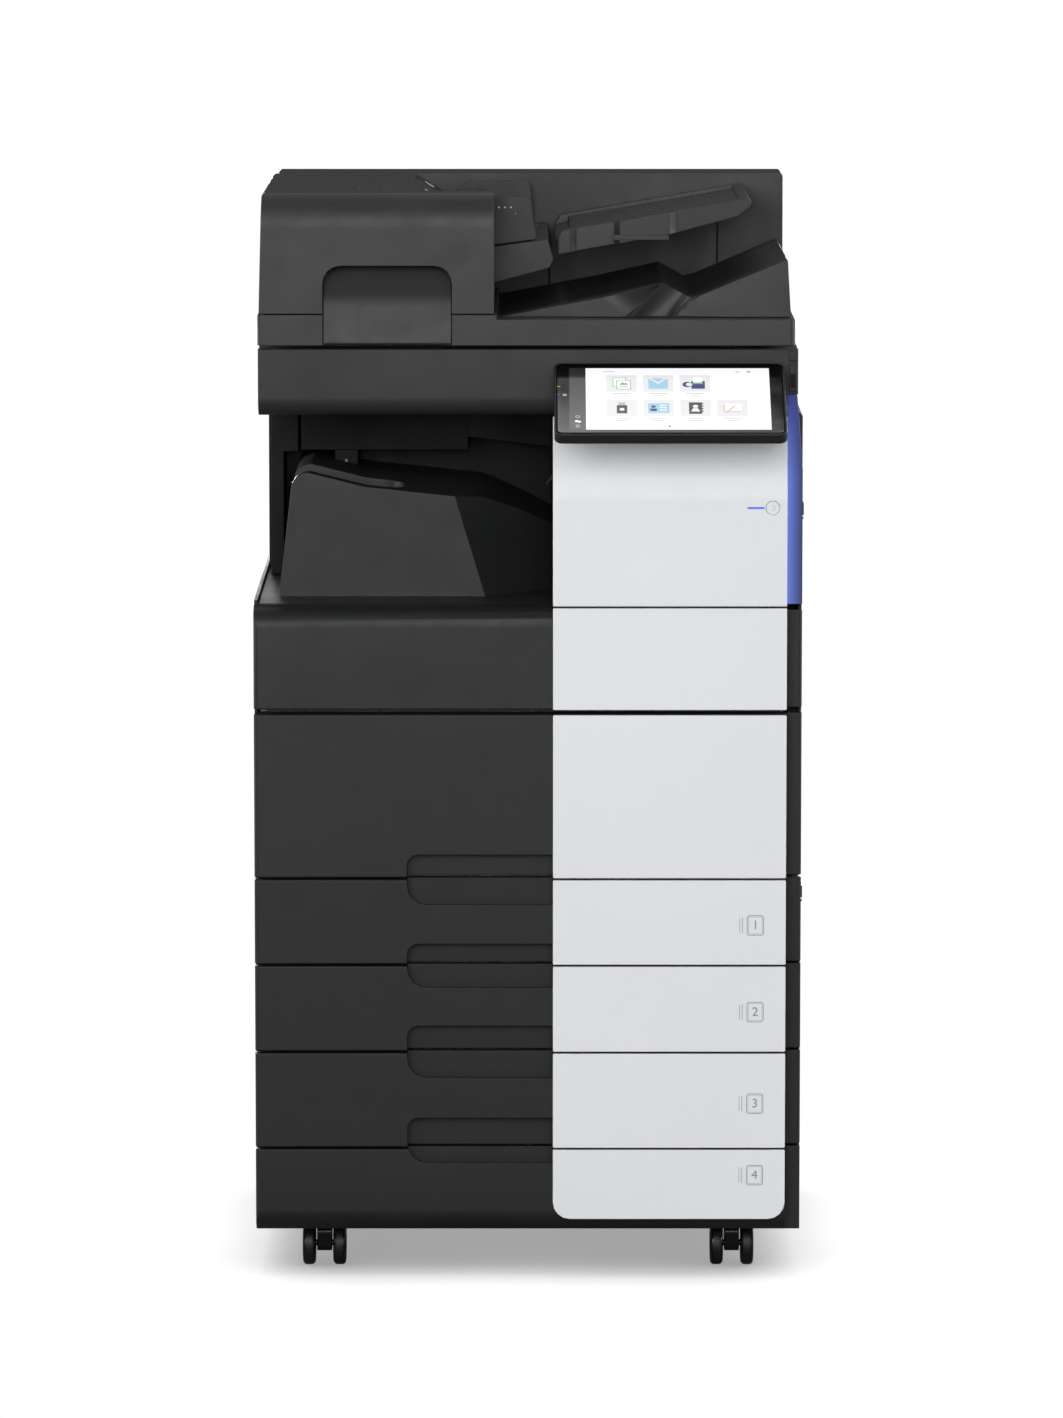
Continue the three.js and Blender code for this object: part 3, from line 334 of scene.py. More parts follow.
def refined(node, slot, material, width=0.8, segments=2, name=None, above=35, whole_faces=True):
    """A node's own shape with its moulded edges rounded."""
    bm = merged(node, whole_faces)
    softened(bm, width, segments, above)
    body = frame["nodes"][node]["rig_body"]
    return stands_for(shown(name or f"{node}_skin", bm, body, slot, material), node)


galvanised = metal("galvanised_sheet", "9A9EA2", 0.38)
bright_steel = metal("bright_steel", "B9BDC1", 0.24, 900.0, 0.05)
black_steel = metal("blackened_steel", "2A2C2E", 0.4, 700.0, 0.1)
carried("chassis_frame", galvanised)

for number in (1, 2, 3, 4):
    tray_low, tray_high = corners_of(f"drawer_{number}_tray")
    middle = (tray_low.z + tray_high.z) / 2
    fixed = bmesh.new()
    for wall, inner in ((-297.8, -292.8), (255.8, 253.6)):
        slab(fixed, (wall, wall + (0.9 if wall < inner else -0.9)), (-172, 290), (middle - 17, middle + 17))
        slab(fixed, (wall, inner), (-172, 290), (middle + 15.8, middle + 17))
        slab(fixed, (wall, inner), (-172, 290), (middle - 17, middle - 15.8))
    shown(f"drawer_{number}_fixed_runners", fixed, "machine", "hinge_metal", bright_steel)
    moving = bmesh.new()
    for wall, inner in ((-288.1, -291.6), (250.1, 252.8)):
        slab(moving, (wall, inner), (-180, 252), (middle - 11, middle + 11), 0.6)
        for y in (-150, -60, 30, 120, 210):
            rod(moving, (wall, y, middle), (inner - math.copysign(0.2, inner), y, middle), 6, 16, edge=0.3)
    shown(f"drawer_{number}_moving_runners", moving, f"drawer_{number}", "hinge_metal", bright_steel)


# ---- Casters ----
# Four twin-wheel swivel casters of glossy black nylon. The wheels turn on one steel axle through the housing
# between them, and each housing turns on a stem under the base plate.

caster_black = plastic("caster_nylon", "0B0B0C", 0.22, 900.0, 0.1, 0.06)
tread_black = plastic("caster_tread", "121212", 0.5, 2200.0, 0.15, 0.25)
wheel_profile = [
    (10.0, 0), (10.0, 20.5), (10.6, 22.2), (12.4, 24.1), (14.5, 24.7), (21.0, 24.7), (23.0, 23.8), (24.4, 21.6),
    (24.7, 18.6), (23.9, 17.4), (22.4, 16.6), (22.1, 9.5), (23.3, 8.2), (24.5, 7.4), (24.8, 6.0), (24.8, 0),
]
for corner in ("front_left", "front_right", "rear_left", "rear_right"):
    fork, wheels = f"caster_{corner}_fork", f"caster_{corner}_wheels"
    wheel_low, wheel_high = corners_of(wheels)
    axle = (wheel_low + wheel_high) / 2
    reach = wheel_high.z / 2
    rolling = bmesh.new()
    for side in (-1, 1):
        turned(rolling, axle, (side, 0, 0), [(a, r * reach / 24.7) for a, r in wheel_profile], 56)
        for k in range(5):
            angle = 2 * math.pi * k / 5
            spot = axle + Vector((side * 22.0, 13 * math.sin(angle), 13 * math.cos(angle)))
            rod(rolling, spot, spot + Vector((side * 1.0, 0, 0)), 2.1, 14, edge=0.3)
    rod(rolling, axle - Vector((11, 0, 0)), axle + Vector((11, 0, 0)), 3.6, 20)
    tread = [f for f in rolling.faces if abs((f.calc_center_median() * 1000 - axle).yz.length - reach) < 0.35]
    for face in tread:
        face.material_index = 1
    stands_for(
        shown(f"caster_{corner}_rollers", rolling, wheels, "wheel_rubber", caster_black, tread_black), wheels
    )
    refined(fork, "dark_plastic", caster_black, 0.9, 3)
    stem = bmesh.new()
    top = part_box(fork)[1] * 1000
    rod(stem, (axle.x, axle.y + 18, top.z - 11.5), (axle.x, axle.y + 18, top.z - 8), 19, 40, edge=0.8)
    for k in range(16):
        angle = 2 * math.pi * k / 16
        spot = Vector((axle.x + 15.6 * math.cos(angle), axle.y + 18 + 15.6 * math.sin(angle), top.z - 8.2))
        rod(stem, spot, spot + Vector((0, 0, 7.4)), 1.1, 8)
    shown(f"caster_{corner}_collar", stem, fork, "dark_plastic", caster_black)


# ---- Paper drawers ----
# Each drawer is a moulded tray behind a hollow front whose hand recess it shares with the front above. Inside
# are a sprung steel lift plate, two side guides on a rack and an end guide, all of which slide to the paper.

drawer_plastic = plastic("drawer_front_plastic", "1B1C1D", 0.52)
accent_plastic = plastic("light_accent_plastic", "F3F4F6", 0.42, 2200.0, 0.012, 0.05)
tray_plastic = plastic("tray_plastic", "77797C", 0.6, 700.0, 0.06, 0.2)
guide_plastic = plastic("paper_guide_plastic", "3E4145", 0.5, 900.0, 0.06)
mark_grey = plastic("printed_mark", "8E9093", 0.55, 2200.0, 0.03, 0.05)


def sunk(bm, axis, level, windows, depth, rim=0.0):
    """Sinks rectangular windows into the flat face at this level of an axis, each given as four sides in mm."""
    across = [i for i in range(3) if i != axis]
    for window in windows:
        for index, sides in zip(across, (window[:2], window[2:])):
            for side in sides:
                faces = [f for f in bm.faces if all(abs(v.co[axis] - level * MM) < 2e-5 for v in f.verts)]
                near = [
                    f for f in faces
                    if all(
                        min(v.co[i] for v in f.verts) < high * MM and max(v.co[i] for v in f.verts) > low * MM
                        for i, (low, high) in zip(across, (window[:2], window[2:]))
                    )
                ]
                geom = near + list({part for f in near for part in (*f.edges, *f.verts)})
                normal = Vector((0, 0, 0))
                normal[index] = 1
                bmesh.ops.bisect_plane(bm, geom=geom, dist=1e-6, plane_co=normal * side * MM, plane_no=normal)
    for window in windows:
        floor = [
            f for f in bm.faces
            if all(abs(v.co[axis] - level * MM) < 2e-5 for v in f.verts)
            and all(
                low * MM < f.calc_center_median()[i] < high * MM
                for i, (low, high) in zip(across, (window[:2], window[2:]))
            )
        ]
        if floor:
            bmesh.ops.inset_region(
                bm, faces=floor, thickness=max(rim, 0.05) * MM, depth=-depth * MM, use_boundary=True,
                use_even_offset=True,
            )
    bmesh.ops.dissolve_degenerate(bm, dist=2e-6, edges=bm.edges)
    bmesh.ops.triangulate(bm, faces=[f for f in bm.faces if len(f.verts) > 4])


def numeral(bm, text, size, x, z, y, thickness, paint=0):
    """A plain numeral standing on a front, centred on x and z."""
    curve = bpy.data.curves.new("numeral", "FONT")
    curve.body = text
    curve.size = size * MM
    curve.align_x = "CENTER"
    curve.align_y = "CENTER"
    curve.extrude = thickness / 2 * MM
    curve.resolution_u = 4
    holder = bpy.data.objects.new("numeral", curve)
    bpy.context.scene.collection.objects.link(holder)
    bpy.context.view_layer.update()
    flat = bpy.data.meshes.new_from_object(holder.evaluated_get(bpy.context.evaluated_depsgraph_get()))
    bpy.data.objects.remove(holder)
    upright = Matrix.Translation(Vector((x, y, z)) * MM) @ Matrix.Rotation(math.pi / 2, 4, "X")
    flat.transform(upright)
    before = set(bm.faces)
    bm.from_mesh(flat)
    bpy.data.meshes.remove(flat)
    made = [f for f in bm.faces if f not in before]
    bmesh.ops.remove_doubles(bm, verts=list({v for f in made for v in f.verts}), dist=1e-7)
    for face in set(bm.faces) - before:
        face.material_index = paint


def outline_frame(bm, x, z, y, width, radius, thickness):
    """A thin line round a rectangle with round corners, standing on a front that faces -Y."""
    outer = rounded_corners(x, z, radius)
    narrower = (x[0] + width, x[1] - width), (z[0] + width, z[1] - width)
    inner = rounded_corners(*narrower, max(radius - width, 0.2))
    rings = []
    for level in (y, y - thickness):
        rings.append([[bm.verts.new(Vector((a, level, b)) * MM) for a, b in loop] for loop in (outer, inner)])
    count = len(outer)
    made = []
    for first, second in (
        (rings[0][0], rings[1][0]), (rings[1][0], rings[1][1]),
        (rings[1][1], rings[0][1]), (rings[0][1], rings[0][0]),
    ):
        for k in range(count):
            n = (k + 1) % count
            made.append(bm.faces.new((first[k], first[n], second[n], second[k])))
    bmesh.ops.recalc_face_normals(bm, faces=made)


for number in (1, 2, 3, 4):
    body = f"drawer_{number}"
    refined(f"{body}_front", "drawer_plastic", drawer_plastic, 0.7)
    refined(f"{body}_accent", "light_accent", accent_plastic, 0.7, 3)
    refined(f"{body}_tray", "tray_plastic", tray_plastic, 0.5, 1)
    plate_low, plate_high = corners_of(f"{body}_accent")
    middle = (plate_low.z + plate_high.z) / 2 + (11 if number == 4 else -3)
    face = plate_low.y
    badge = bmesh.new()
    outline_frame(badge, (246, 265), (middle - 11.5, middle + 11.5), face + 0.1, 0.7, 3.0, 0.3)
    outline_frame(badge, (247.6, 263.4), (middle - 9.9, middle + 9.9), face + 0.1, 0.35, 2.0, 0.25)
    numeral(badge, str(number), 14.5, 255.5, middle, face, 0.3)
    slab(badge, (240.6, 241.2), (face - 0.2, face + 0.1), (middle - 9, middle + 9))
    slab(badge, (237.6, 238.1), (face - 0.2, face + 0.1), (middle - 8, middle + 8))
    shown(f"{body}_number_mark", badge, body, "light_accent", mark_grey)

    tray_low, tray_high = corners_of(f"{body}_tray")
    floor = tray_low.z + 3
    wall = tray_high.z - floor
    lift = bmesh.new()
    slab(lift, (-120, 240), (-140, 205), (floor + 3, floor + 4.2), 0.4)
    for x in (-80, 0, 80, 160):
        slab(lift, (x, x + 26), (-138, 203), (floor + 4.1, floor + 5.2), 0.5)
    slab(lift, (206, 232), (-30, 90), (floor + 4.2, floor + 5.6), 0.5)
    shown(f"{body}_lift_plate", lift, body, "frame_steel", galvanised)
    guides = bmesh.new()
    for inner, outer in ((-142, -150), (207, 215)):
        slab(guides, (-60, 150), (inner, outer), (floor + 0.5, floor + wall * 0.82), 1.2)
        away = 1 if outer > inner else -1
        slab(guides, (10, 70), (inner, outer + 6 * away), (floor + 0.5, floor + wall * 0.5), 1.2)
        slab(guides, (32, 48), (inner, outer + 9 * away), (floor + wall * 0.5, floor + wall * 0.72), 1)
    slab(guides, (-208, -200), (-20, 85), (floor + 0.5, floor + wall * 0.8), 1.2)
    slab(guides, (-226, -200), (8, 57), (floor + 0.5, floor + 6), 1.2)
    for y in range(-110, 180, 12):
        slab(guides, (34, 46), (y, y + 6), (floor + 0.1, floor + 1.4), 0.3)
    shown(f"{body}_paper_guides", guides, body, "dark_plastic", guide_plastic)


# ---- Front doors ----
# Two hollow mouldings drop forwards on pins at their lower edges. Their backs are stiffened by moulded ribs,
# and each is held shut by two spring latches and let down on a folded steel stay.

cabinet_plastic = plastic("cabinet_plastic", "1F2021", 0.5)
latch_plastic = plastic("latch_plastic", "1B1C1D", 0.4, 900.0, 0.08)
for level in ("upper", "lower"):
    door, node = f"{level}_door", f"{level}_front_door"
    refined(node, "cabinet_plastic", cabinet_plastic, 0.8, 3)
    refined(f"{door}_accent", "light_accent", accent_plastic, 0.8, 3)
    low, high = corners_of(node)
    ribs = bmesh.new()
    top = high.z - (27 if door == "upper_door" else 5)
    bottom = low.z + (4 if door == "upper_door" else 36)
    for x in (-255, -200, -152, 55, 110, 165, 220, 268):
        slab(ribs, (x - 0.9, x + 0.9), (low.y + 3.4, high.y - 3), (bottom, top), 0.3, 1)
    for x0, x1 in ((-303, -145), (45, 285)):
        for z in (bottom + (top - bottom) * 0.33, bottom + (top - bottom) * 0.67):
            slab(ribs, (x0, x1), (low.y + 3.4, high.y - 4), (z - 0.9, z + 0.9), 0.3, 1)
    shown(f"{door}_back_ribs", ribs, door, "cabinet_plastic", cabinet_plastic)
    latches = bmesh.new()
    for x in (-278, 276):
        slab(latches, (x - 9, x + 9), (high.y - 12, high.y - 2), (top - 22, top - 6), 1.2)
        slab(latches, (x - 4, x + 4), (high.y - 3, high.y + 5), (top - 16, top - 12), 0.8)
        slab(latches, (x - 4, x + 4), (high.y + 2.4, high.y + 5), (top - 19, top - 12), 0.8)
    shown(f"{door}_latches", latches, door, "dark_plastic", latch_plastic)


# ---- Print engine ----
# Behind the doors a black inner cover screens the engine. It leaves room for the toner bottle, the locking
# lever of the drum and the waste bottle, and the laser unit lies flat under them on the frame's shelf.

engine_black = plastic("engine_plastic", "17181A", 0.45, 900.0, 0.08)
inner_grey = plastic("inner_cover_plastic", "55585C", 0.55, 1100.0, 0.05)
handle_green = plastic("handle_green", "2E8B57", 0.42, 1100.0, 0.05)
handle_blue = plastic("handle_blue", "2C62A8", 0.42, 1100.0, 0.05)
bottle_white = plastic("bottle_plastic", "C9CBC6", 0.35, 800.0, 0.05, 0.08)
roller_rubber = plastic("roller_rubber", "1B1C1E", 0.78, 1900.0, 0.12, 0.3)
drum_coating = finish(
    "drum_coating", "2F7F86", 0.1, moulded_skin, {"Grain": 3000.0}, 0.04, 0.02, 0.02, {"Metallic": 0.35}
)
sleeve = plastic("fuser_sleeve", "3A2A22", 0.28, 2600.0, 0.06, 0.03)


def rounded_hole_plate(bm, x, z, y, centre, radius, steps=32):
    """A plate across Y with a round hole: the hole's ring is bridged to the plate's own outline."""
    loops = []
    for level in y:
        circle, edge = [], []
        for k in range(steps):
            angle = 2 * math.pi * (k + 0.5) / steps
            c, s = math.cos(angle), math.sin(angle)
            circle.append(bm.verts.new(Vector((centre[0] + radius * c, level, centre[1] + radius * s)) * MM))
            reach = min(
                ((x[1] if c > 0 else x[0]) - centre[0]) / c if abs(c) > 1e-6 else 1e9,
                ((z[1] if s > 0 else z[0]) - centre[1]) / s if abs(s) > 1e-6 else 1e9,
            )
            edge.append([centre[0] + reach * c, centre[1] + reach * s])
        for cx in x:
            for cz in z:
                near = min(edge, key=lambda p: (p[0] - cx) ** 2 + (p[1] - cz) ** 2)
                near[:] = [cx, cz]
        loops.append((circle, [bm.verts.new(Vector((a, level, b)) * MM) for a, b in edge]))
    made = []
    (hole_0, rim_0), (hole_1, rim_1) = loops
    for first, second in ((hole_0, rim_0), (rim_0, rim_1), (rim_1, hole_1), (hole_1, hole_0)):
        for k in range(steps):
            n = (k + 1) % steps
            made.append(bm.faces.new((first[k], first[n], second[n], second[k])))
    bmesh.ops.recalc_face_normals(bm, faces=made)


toner_low, toner_high = corners_of("toner_cartridge")
drum_low, drum_high = corners_of("photoconductor_drum")
toner_x, toner_z = (toner_low.x + toner_high.x) / 2, (toner_low.z + toner_high.z) / 2
drum_x, drum_z = (drum_low.x + drum_high.x) / 2, (drum_low.z + drum_high.z) / 2
screen_y = (-183.5, -178)
inner = bmesh.new()
rounded_hole_plate(inner, (-294, 10), (642, 752), screen_y, (toner_x, toner_z), 47.5)
slab(inner, (10.5, 120), screen_y, (630, 752), 1.2)
rounded_hole_plate(inner, (120.5, 284), (535, 752), screen_y, (drum_x, drum_z), 34)
slab(inner, (-294, -272), screen_y, (462, 641), 1.2)
slab(inner, (120.5, 284), screen_y, (462, 534.5), 1.2)
slab(inner, (-271.5, 120), screen_y, (462, 474), 1.2)
for z in (655, 700, 740):
    slab(inner, (20, 110), (-184.6, -182.8), (z - 1.2, z + 1.2), 0.5)
shown("inner_front_cover", inner, "machine", "dark_plastic", inner_grey)

ring = bmesh.new()
turned(
    ring, (toner_x, -181, toner_z), (0, 1, 0),
    [(-3, 46.6), (-4.2, 48.5), (-4.2, 52), (-2.5, 54), (-0.5, 54), (-0.5, 46.6), (-3, 46.6)], 48,
)
shown("toner_port_ring", ring, "machine", "dark_plastic", engine_black)

bottle = bmesh.new()
bands = []
for start, end in ((-162, -150), (-118, -90), (-58, -30), (2, 30), (62, 90), (120, 132)):
    bands += [(start - 2, 40.6), (start, 42.4), (end, 42.4), (end + 2, 40.6)]
outline = [(-165, 0), (-165, 39), *bands[1:-1], (138, 36), (138, 0)]
turned(bottle, (toner_x, 0, toner_z), (0, 1, 0), outline, 56)
turned(
    bottle, (toner_x, 0, toner_z), (0, 1, 0),
    [(-175, 0), (-175, 33), (-173, 36.4), (-166, 36.8), (-164, 36.8), (-164, 0)], 48, paint=1,
)
slab(bottle, (toner_x - 22, toner_x + 22), (-181.5, -172), (toner_z - 4.6, toner_z + 4.6), 2.2, 3, paint=2)
stands_for(
    shown("toner_bottle", bottle, "machine", "dark_plastic", bottle_white, engine_black, handle_blue),
    "toner_cartridge",
)

lock = bmesh.new()
turned(lock, (drum_x, -178, drum_z), (0, 1, 0), [(-1.5, 0), (-1.5, 24), (0, 26.5), (4, 26.5), (4, 0)], 40)
slab(lock, (drum_x - 5, drum_x + 5), (-183.8, -178), (drum_z - 23, drum_z + 23), 1.8, 3, paint=1)
shown("drum_lock", lock, "machine", "dark_plastic", engine_black, handle_green)

waste = bmesh.new()
slab(waste, (-262, -110), (-176, -60), (545, 622), 5, 4)
slab(waste, (-250, -122), (-179.6, -175), (556, 611), 2.0, 3)
slab(waste, (-206, -166), (-181.5, -179), (574, 594), 1.0, 2, paint=1)
shown("waste_toner_bottle", waste, "machine", "tray_plastic", bottle_white, handle_green)

laser = bmesh.new()
slab(laser, (-258, 108), (-160, 172), (462, 512), 3, 3)
for x in range(-240, 100, 28):
    slab(laser, (x, x + 3), (-156, 168), (511.5, 516), 0.8)
slab(laser, (-258, 108), (-166, -159), (472, 500), 1.5)
for x in (-248, 98):
    rod(laser, (x, -169, 486), (x, -165.5, 486), 4, 20, edge=0.5)
shown("laser_unit", laser, "machine", "dark_plastic", engine_black)

developer = bmesh.new()
extruded(
    developer, "y", [(126, 552), (152, 552), (158, 566), (156, 600), (148, 622), (126, 622)], -150, 172, 1.2
)
rod(developer, (149, -160, 588), (149, 178, 588), 9.0, 28, edge=0.6, paint=1)
shown("developer_unit", developer, "machine", "dark_plastic", engine_black, bright_steel)

transfer = bmesh.new()
rod(transfer, (232.5, -158, drum_z), (232.5, 178, drum_z), 9.5, 32, edge=0.8)
rod(transfer, (232.5, -166, drum_z), (232.5, 187, drum_z), 3, 16, paint=1)
shown("transfer_roller", transfer, "machine", "roller_rubber", roller_rubber, bright_steel)

for node, material in (
    ("photoconductor_drum", drum_coating), ("heat_roller", sleeve), ("pressure_roller", roller_rubber),
):
    low, high = corners_of(node)
    x, z, radius = (low.x + high.x) / 2, (low.z + high.z) / 2, (high.x - low.x) / 2
    barrel = bmesh.new()
    turned(
        barrel, (x, 0, z), (0, 1, 0),
        [(-160, 0), (-160, radius - 2.5), (-158, radius), (178, radius), (180, radius - 2.5), (180, 0)], 56,
    )
    shaft = [(-172, 0), (-172, 4.2), (-171, 4.9), (193, 4.9), (194, 4.2), (194, 0)]
    turned(barrel, (x, 0, z), (0, 1, 0), shaft, 24, 1)
    for k in range(6):
        angle = 2 * math.pi * k / 6
        spot = Vector((x + radius * 0.62 * math.cos(angle), -160.8, z + radius * 0.62 * math.sin(angle)))
        rod(barrel, spot, spot + Vector((0, 1.4, 0)), radius * 0.13, 14, edge=0.3, paint=1)
    stands_for(shown(f"{node}_barrel", barrel, node, "roller_coating", material, bright_steel), node)


# ---- Side and rear covers ----
# Thin moulded panels screwed to the frame. The left one has two air grilles and a hand hold, and the rear one
# the fans' grilles, the sockets for the network and the mains inlet.


def grille(x, z, slots, pitch, width):
    """The windows of a row of upright slots."""
    return [(x + k * pitch, x + k * pitch + width, z[0], z[1]) for k in range(slots)]


left_low = corners_of("left_cover")[0]
left = merged("left_cover")
sunk(left, 0, left_low.x, grille(40, (560, 640), 20, 8.5, 3.6), 2.6, 0.3)
sunk(left, 0, left_low.x, grille(40, (655, 735), 20, 8.5, 3.6), 2.6, 0.3)
sunk(left, 0, left_low.x, [(-60, 45, 486, 512)], 3.0, 1.2)
sunk(left, 0, left_low.x, [(-183, 309, 455.6, 456.8)], 0.9, 0.2)
stands_for(shown("left_cover_skin", left, "machine", "cabinet_plastic", cabinet_plastic), "left_cover")

screw_head = [(0.0, 0), (0.0, 3.9), (-0.5, 4.0), (-1.5, 3.4), (-1.9, 2.0), (-1.9, 0)]
screws = bmesh.new()
for y, z in ((-170, 70), (-170, 400), (-170, 750), (296, 70), (296, 400), (296, 750)):
    turned(screws, (left_low.x + 1.3, y, z), (1, 0, 0), screw_head, 20)
shown("left_cover_screws", screws, "machine", "hinge_metal", black_steel)

rear_high = corners_of("rear_cover")[1]
rear = merged("rear_cover")
sunk(rear, 1, rear_high.y, grille(80, (620, 700), 22, 8.0, 3.6), 2.4, 0.3)
sunk(rear, 1, rear_high.y, grille(80, (715, 795), 22, 8.0, 3.6), 2.4, 0.3)
sunk(rear, 1, rear_high.y, grille(-250, (300, 360), 18, 8.0, 3.6), 2.4, 0.3)
sunk(rear, 1, rear_high.y, [(-290, -120, 560, 700)], 1.6, 0.6)
sunk(rear, 1, rear_high.y, [(-299, 299, 455.7, 456.9)], 0.9, 0.2)
stands_for(shown("rear_cover_skin", rear, "machine", "cabinet_plastic", cabinet_plastic), "rear_cover")
ports = bmesh.new()
back = rear_high.y - 1.6
for z in (675, 648):
    slab(ports, (-275, -257), (back - 1, back + 0.9), (z - 8, z + 8), 0.5)
    slab(ports, (-273, -259), (back, back + 1.1), (z - 6, z + 5), 0.3, paint=1)
for x in (-236, -214):
    slab(ports, (x - 7.5, x + 7.5), (back - 1, back + 0.9), (640, 647), 0.5)
    slab(ports, (x - 6, x + 6), (back, back + 1.1), (641.2, 645.8), 0.2, paint=1)
slab(ports, (-240, -210), (back - 1, back + 0.9), (668, 682), 0.5)
slab(ports, (-237, -213), (back, back + 1.1), (670, 680), 0.3, paint=1)
for x in (-270, -150):
    rod(ports, (x, back - 1, 590), (x, back + 1.3, 590), 3, 16, edge=0.4)
# Near-black blocks in the sockets' mouths: painted shade in place of the dark inside of real openings.
painted_socket_shade = plastic("painted_socket_shade", "050505", 0.7, 900.0)
shown("rear_sockets", ports, "machine", "frame_steel", bright_steel, painted_socket_shade)
screws = bmesh.new()
for x in (-290, 0, 290):
    for z in (75, 440, 475, 955):
        turned(screws, (x, rear_high.y - 1.3, z), (0, -1, 0), screw_head, 20)
shown("rear_cover_screws", screws, "machine", "hinge_metal", black_steel)
refined("power_inlet", "dark_plastic", engine_black, 0.4, 2)


# ---- Right-hand side ----
# Two doors hinged at the back cover the upright paper path. The upper one carries the fold-out tray for single
# sheets, and its inner half of the path is ribbed so that the sheets slide on narrow edges.

refined("right_door", "cabinet_plastic", cabinet_plastic, 0.5, 2)
refined("bypass_tray", "cabinet_plastic", cabinet_plastic, 0.8, 2)
refined("cabinet_side_door", "cabinet_plastic", cabinet_plastic, 0.5, 2)

fins = bmesh.new()
for y in range(-144, 178, 16):
    extruded(
        fins, "y", [(268.4, 520), (264.6, 532), (263.2, 600), (264.6, 705), (268.4, 722)], y - 0.8, y + 0.8, 0.25
    )
rod(fins, (264.5, -148, 655), (264.5, 178, 655), 2.6, 16, paint=1)
for y in (-110, -40, 30, 100, 160):
    rod(fins, (264.5, y - 9, 655), (264.5, y + 9, 655), 5.6, 24, edge=0.6, paint=2)
shown("path_guide_fins", fins, "right_door", "dark_plastic", engine_black, bright_steel, roller_rubber)

for z, body in ((869, "right_door"), (435, "side_door")):
    pulls = bmesh.new()
    slab(pulls, (305.6, 309.2), (-176, -116), (z - 10.5, z - 8.6), 0.5)
    slab(pulls, (306.9, 309.4), (-171, -121), (z - 5.5, z + 5.5), 0.8, 3)
    shown(f"{body}_pull", pulls, body, "dark_plastic", latch_plastic)

bypass = bmesh.new()
low, high = corners_of("bypass_tray")
for y in (-96, 92):
    slab(bypass, (290.6, 294.6), (y, y + 8), (low.z + 12, low.z + 120), 0.8)
for y in range(-110, 130, 24):
    slab(bypass, (293.2, 294.4), (y, y + 1.6), (low.z + 8, high.z - 20), 0.3)
slab(bypass, (291.5, 294.6), (-60, 70), (high.z - 70, high.z - 18), 1.2, 3)
shown("bypass_side_guides", bypass, "bypass_tray", "dark_plastic", guide_plastic)
bypass_pull = bmesh.new()
slab(bypass_pull, (305.4, 307.3), (-30, 40), (high.z - 16, high.z - 6), 0.7, 3)
shown("bypass_pull", bypass_pull, "bypass_tray", "dark_plastic", latch_plastic)

path = bmesh.new()
for z in (112, 222, 322, 420):
    rod(path, (272, -158, z), (272, 196, z), 3, 16, paint=1)
    for y in (-120, -60, 0, 60, 120, 170):
        rod(path, (272, y - 10, z), (272, y + 10, z), 8, 28, edge=0.8)
shown("path_rollers", path, "machine", "roller_rubber", roller_rubber, bright_steel)


# ---- Light column ----
# A satin light moulding wraps the engine's right front, with the round power key and its lit line. Beside it a
# clear light guide stands on a row of lamps and glows blue, brightest at its left edge.

refined("right_pillar_cover", "dark_plastic", cabinet_plastic, 0.6, 2)
column = merged("column_front_cover")
softened(column, 0.8, 3, 50)
stands_for(
    shown("column_front_skin", column, "machine", "light_accent", accent_plastic, crease=40), "column_front_cover"
)
key_low, key_high = corners_of("power_key")
key_x, key_z = (key_low.x + key_high.x) / 2, (key_low.z + key_high.z) / 2
key = bmesh.new()
rod(key, (key_x, key_low.y, key_z), (key_x, key_high.y, key_z), 7.45, 64, edge=0.08)
stands_for(shown("power_key_cap", key, "power_key", "light_accent", accent_plastic), "power_key")


def lit(name, code, strength, roughness=0.25):
    """A lit surface of one colour behind a clear front."""
    return started(name, {
        "Base Color": [c * 0.05 for c in linear(code)[:3]] + [1.0], "Roughness": roughness,
        "Emission Color": linear(code), "Emission Strength": strength,
    })[0]


line = bmesh.new()
slab(line, (key_x - 28.5, key_x - 9.5), (-221.25, -220.2), (key_z - 1.25, key_z + 1.25), 0.3)
shown("power_light_line", line, "machine", "status_glow", lit("power_light_blue", "5A6FE6", 1.1))
crescent = bmesh.new()
around = [math.radians(d) for d in range(-120, 121, 15)]
outer = [(key_x + 2.6 * math.cos(a), key_z + 2.6 * math.sin(a)) for a in around]
inner = [(key_x + 2.15 * math.cos(a), key_z + 2.15 * math.sin(a)) for a in reversed(around)]
extruded(crescent, "y", outer + inner, key_low.y - 0.05, key_low.y + 0.3)
key_mark = plastic("key_mark", "A9ABAE", 0.5, 2200.0, 0.02, 0.04)
shown("power_key_mark", crescent, "power_key", "light_accent", key_mark)

glow, tree, shader = started(
    "status_glow", {"Base Color": (0.02, 0.025, 0.07, 1), "Roughness": 0.18, "Emission Strength": 0.95}
)
parts = wired(tree, "ShaderNodeSeparateXYZ", (), {"Vector": object_place(tree)})
across = wired(tree, "ShaderNodeMapRange", {"From Min": 0.2903, "From Max": 0.3074}, {"Value": parts.outputs["X"]})
fade = wired(tree, "ShaderNodeValToRGB", (), {"Fac": across.outputs["Result"]})
first, last = fade.color_ramp.elements
first.position, last.position = 0.0, 1.0
first.color, last.color = linear("6880DA"), linear("2A3146")
fade.color_ramp.elements.new(0.45).color = linear("4F60A6")
upwards = wired(tree, "ShaderNodeMapRange", {"From Min": 0.905, "From Max": 0.995}, {"Value": parts.outputs["Z"]})
dim = tree.nodes.new("ShaderNodeMix")
dim.data_type = "RGBA"
dim.inputs["B"].default_value = linear("2B3678")
tree.links.new(upwards.outputs["Result"], dim.inputs["Factor"])
tree.links.new(fade.outputs["Color"], dim.inputs["A"])
tree.links.new(dim.outputs["Result"], shader.inputs["Emission Color"])
refined("status_light", "status_glow", glow, 0.8, 3)
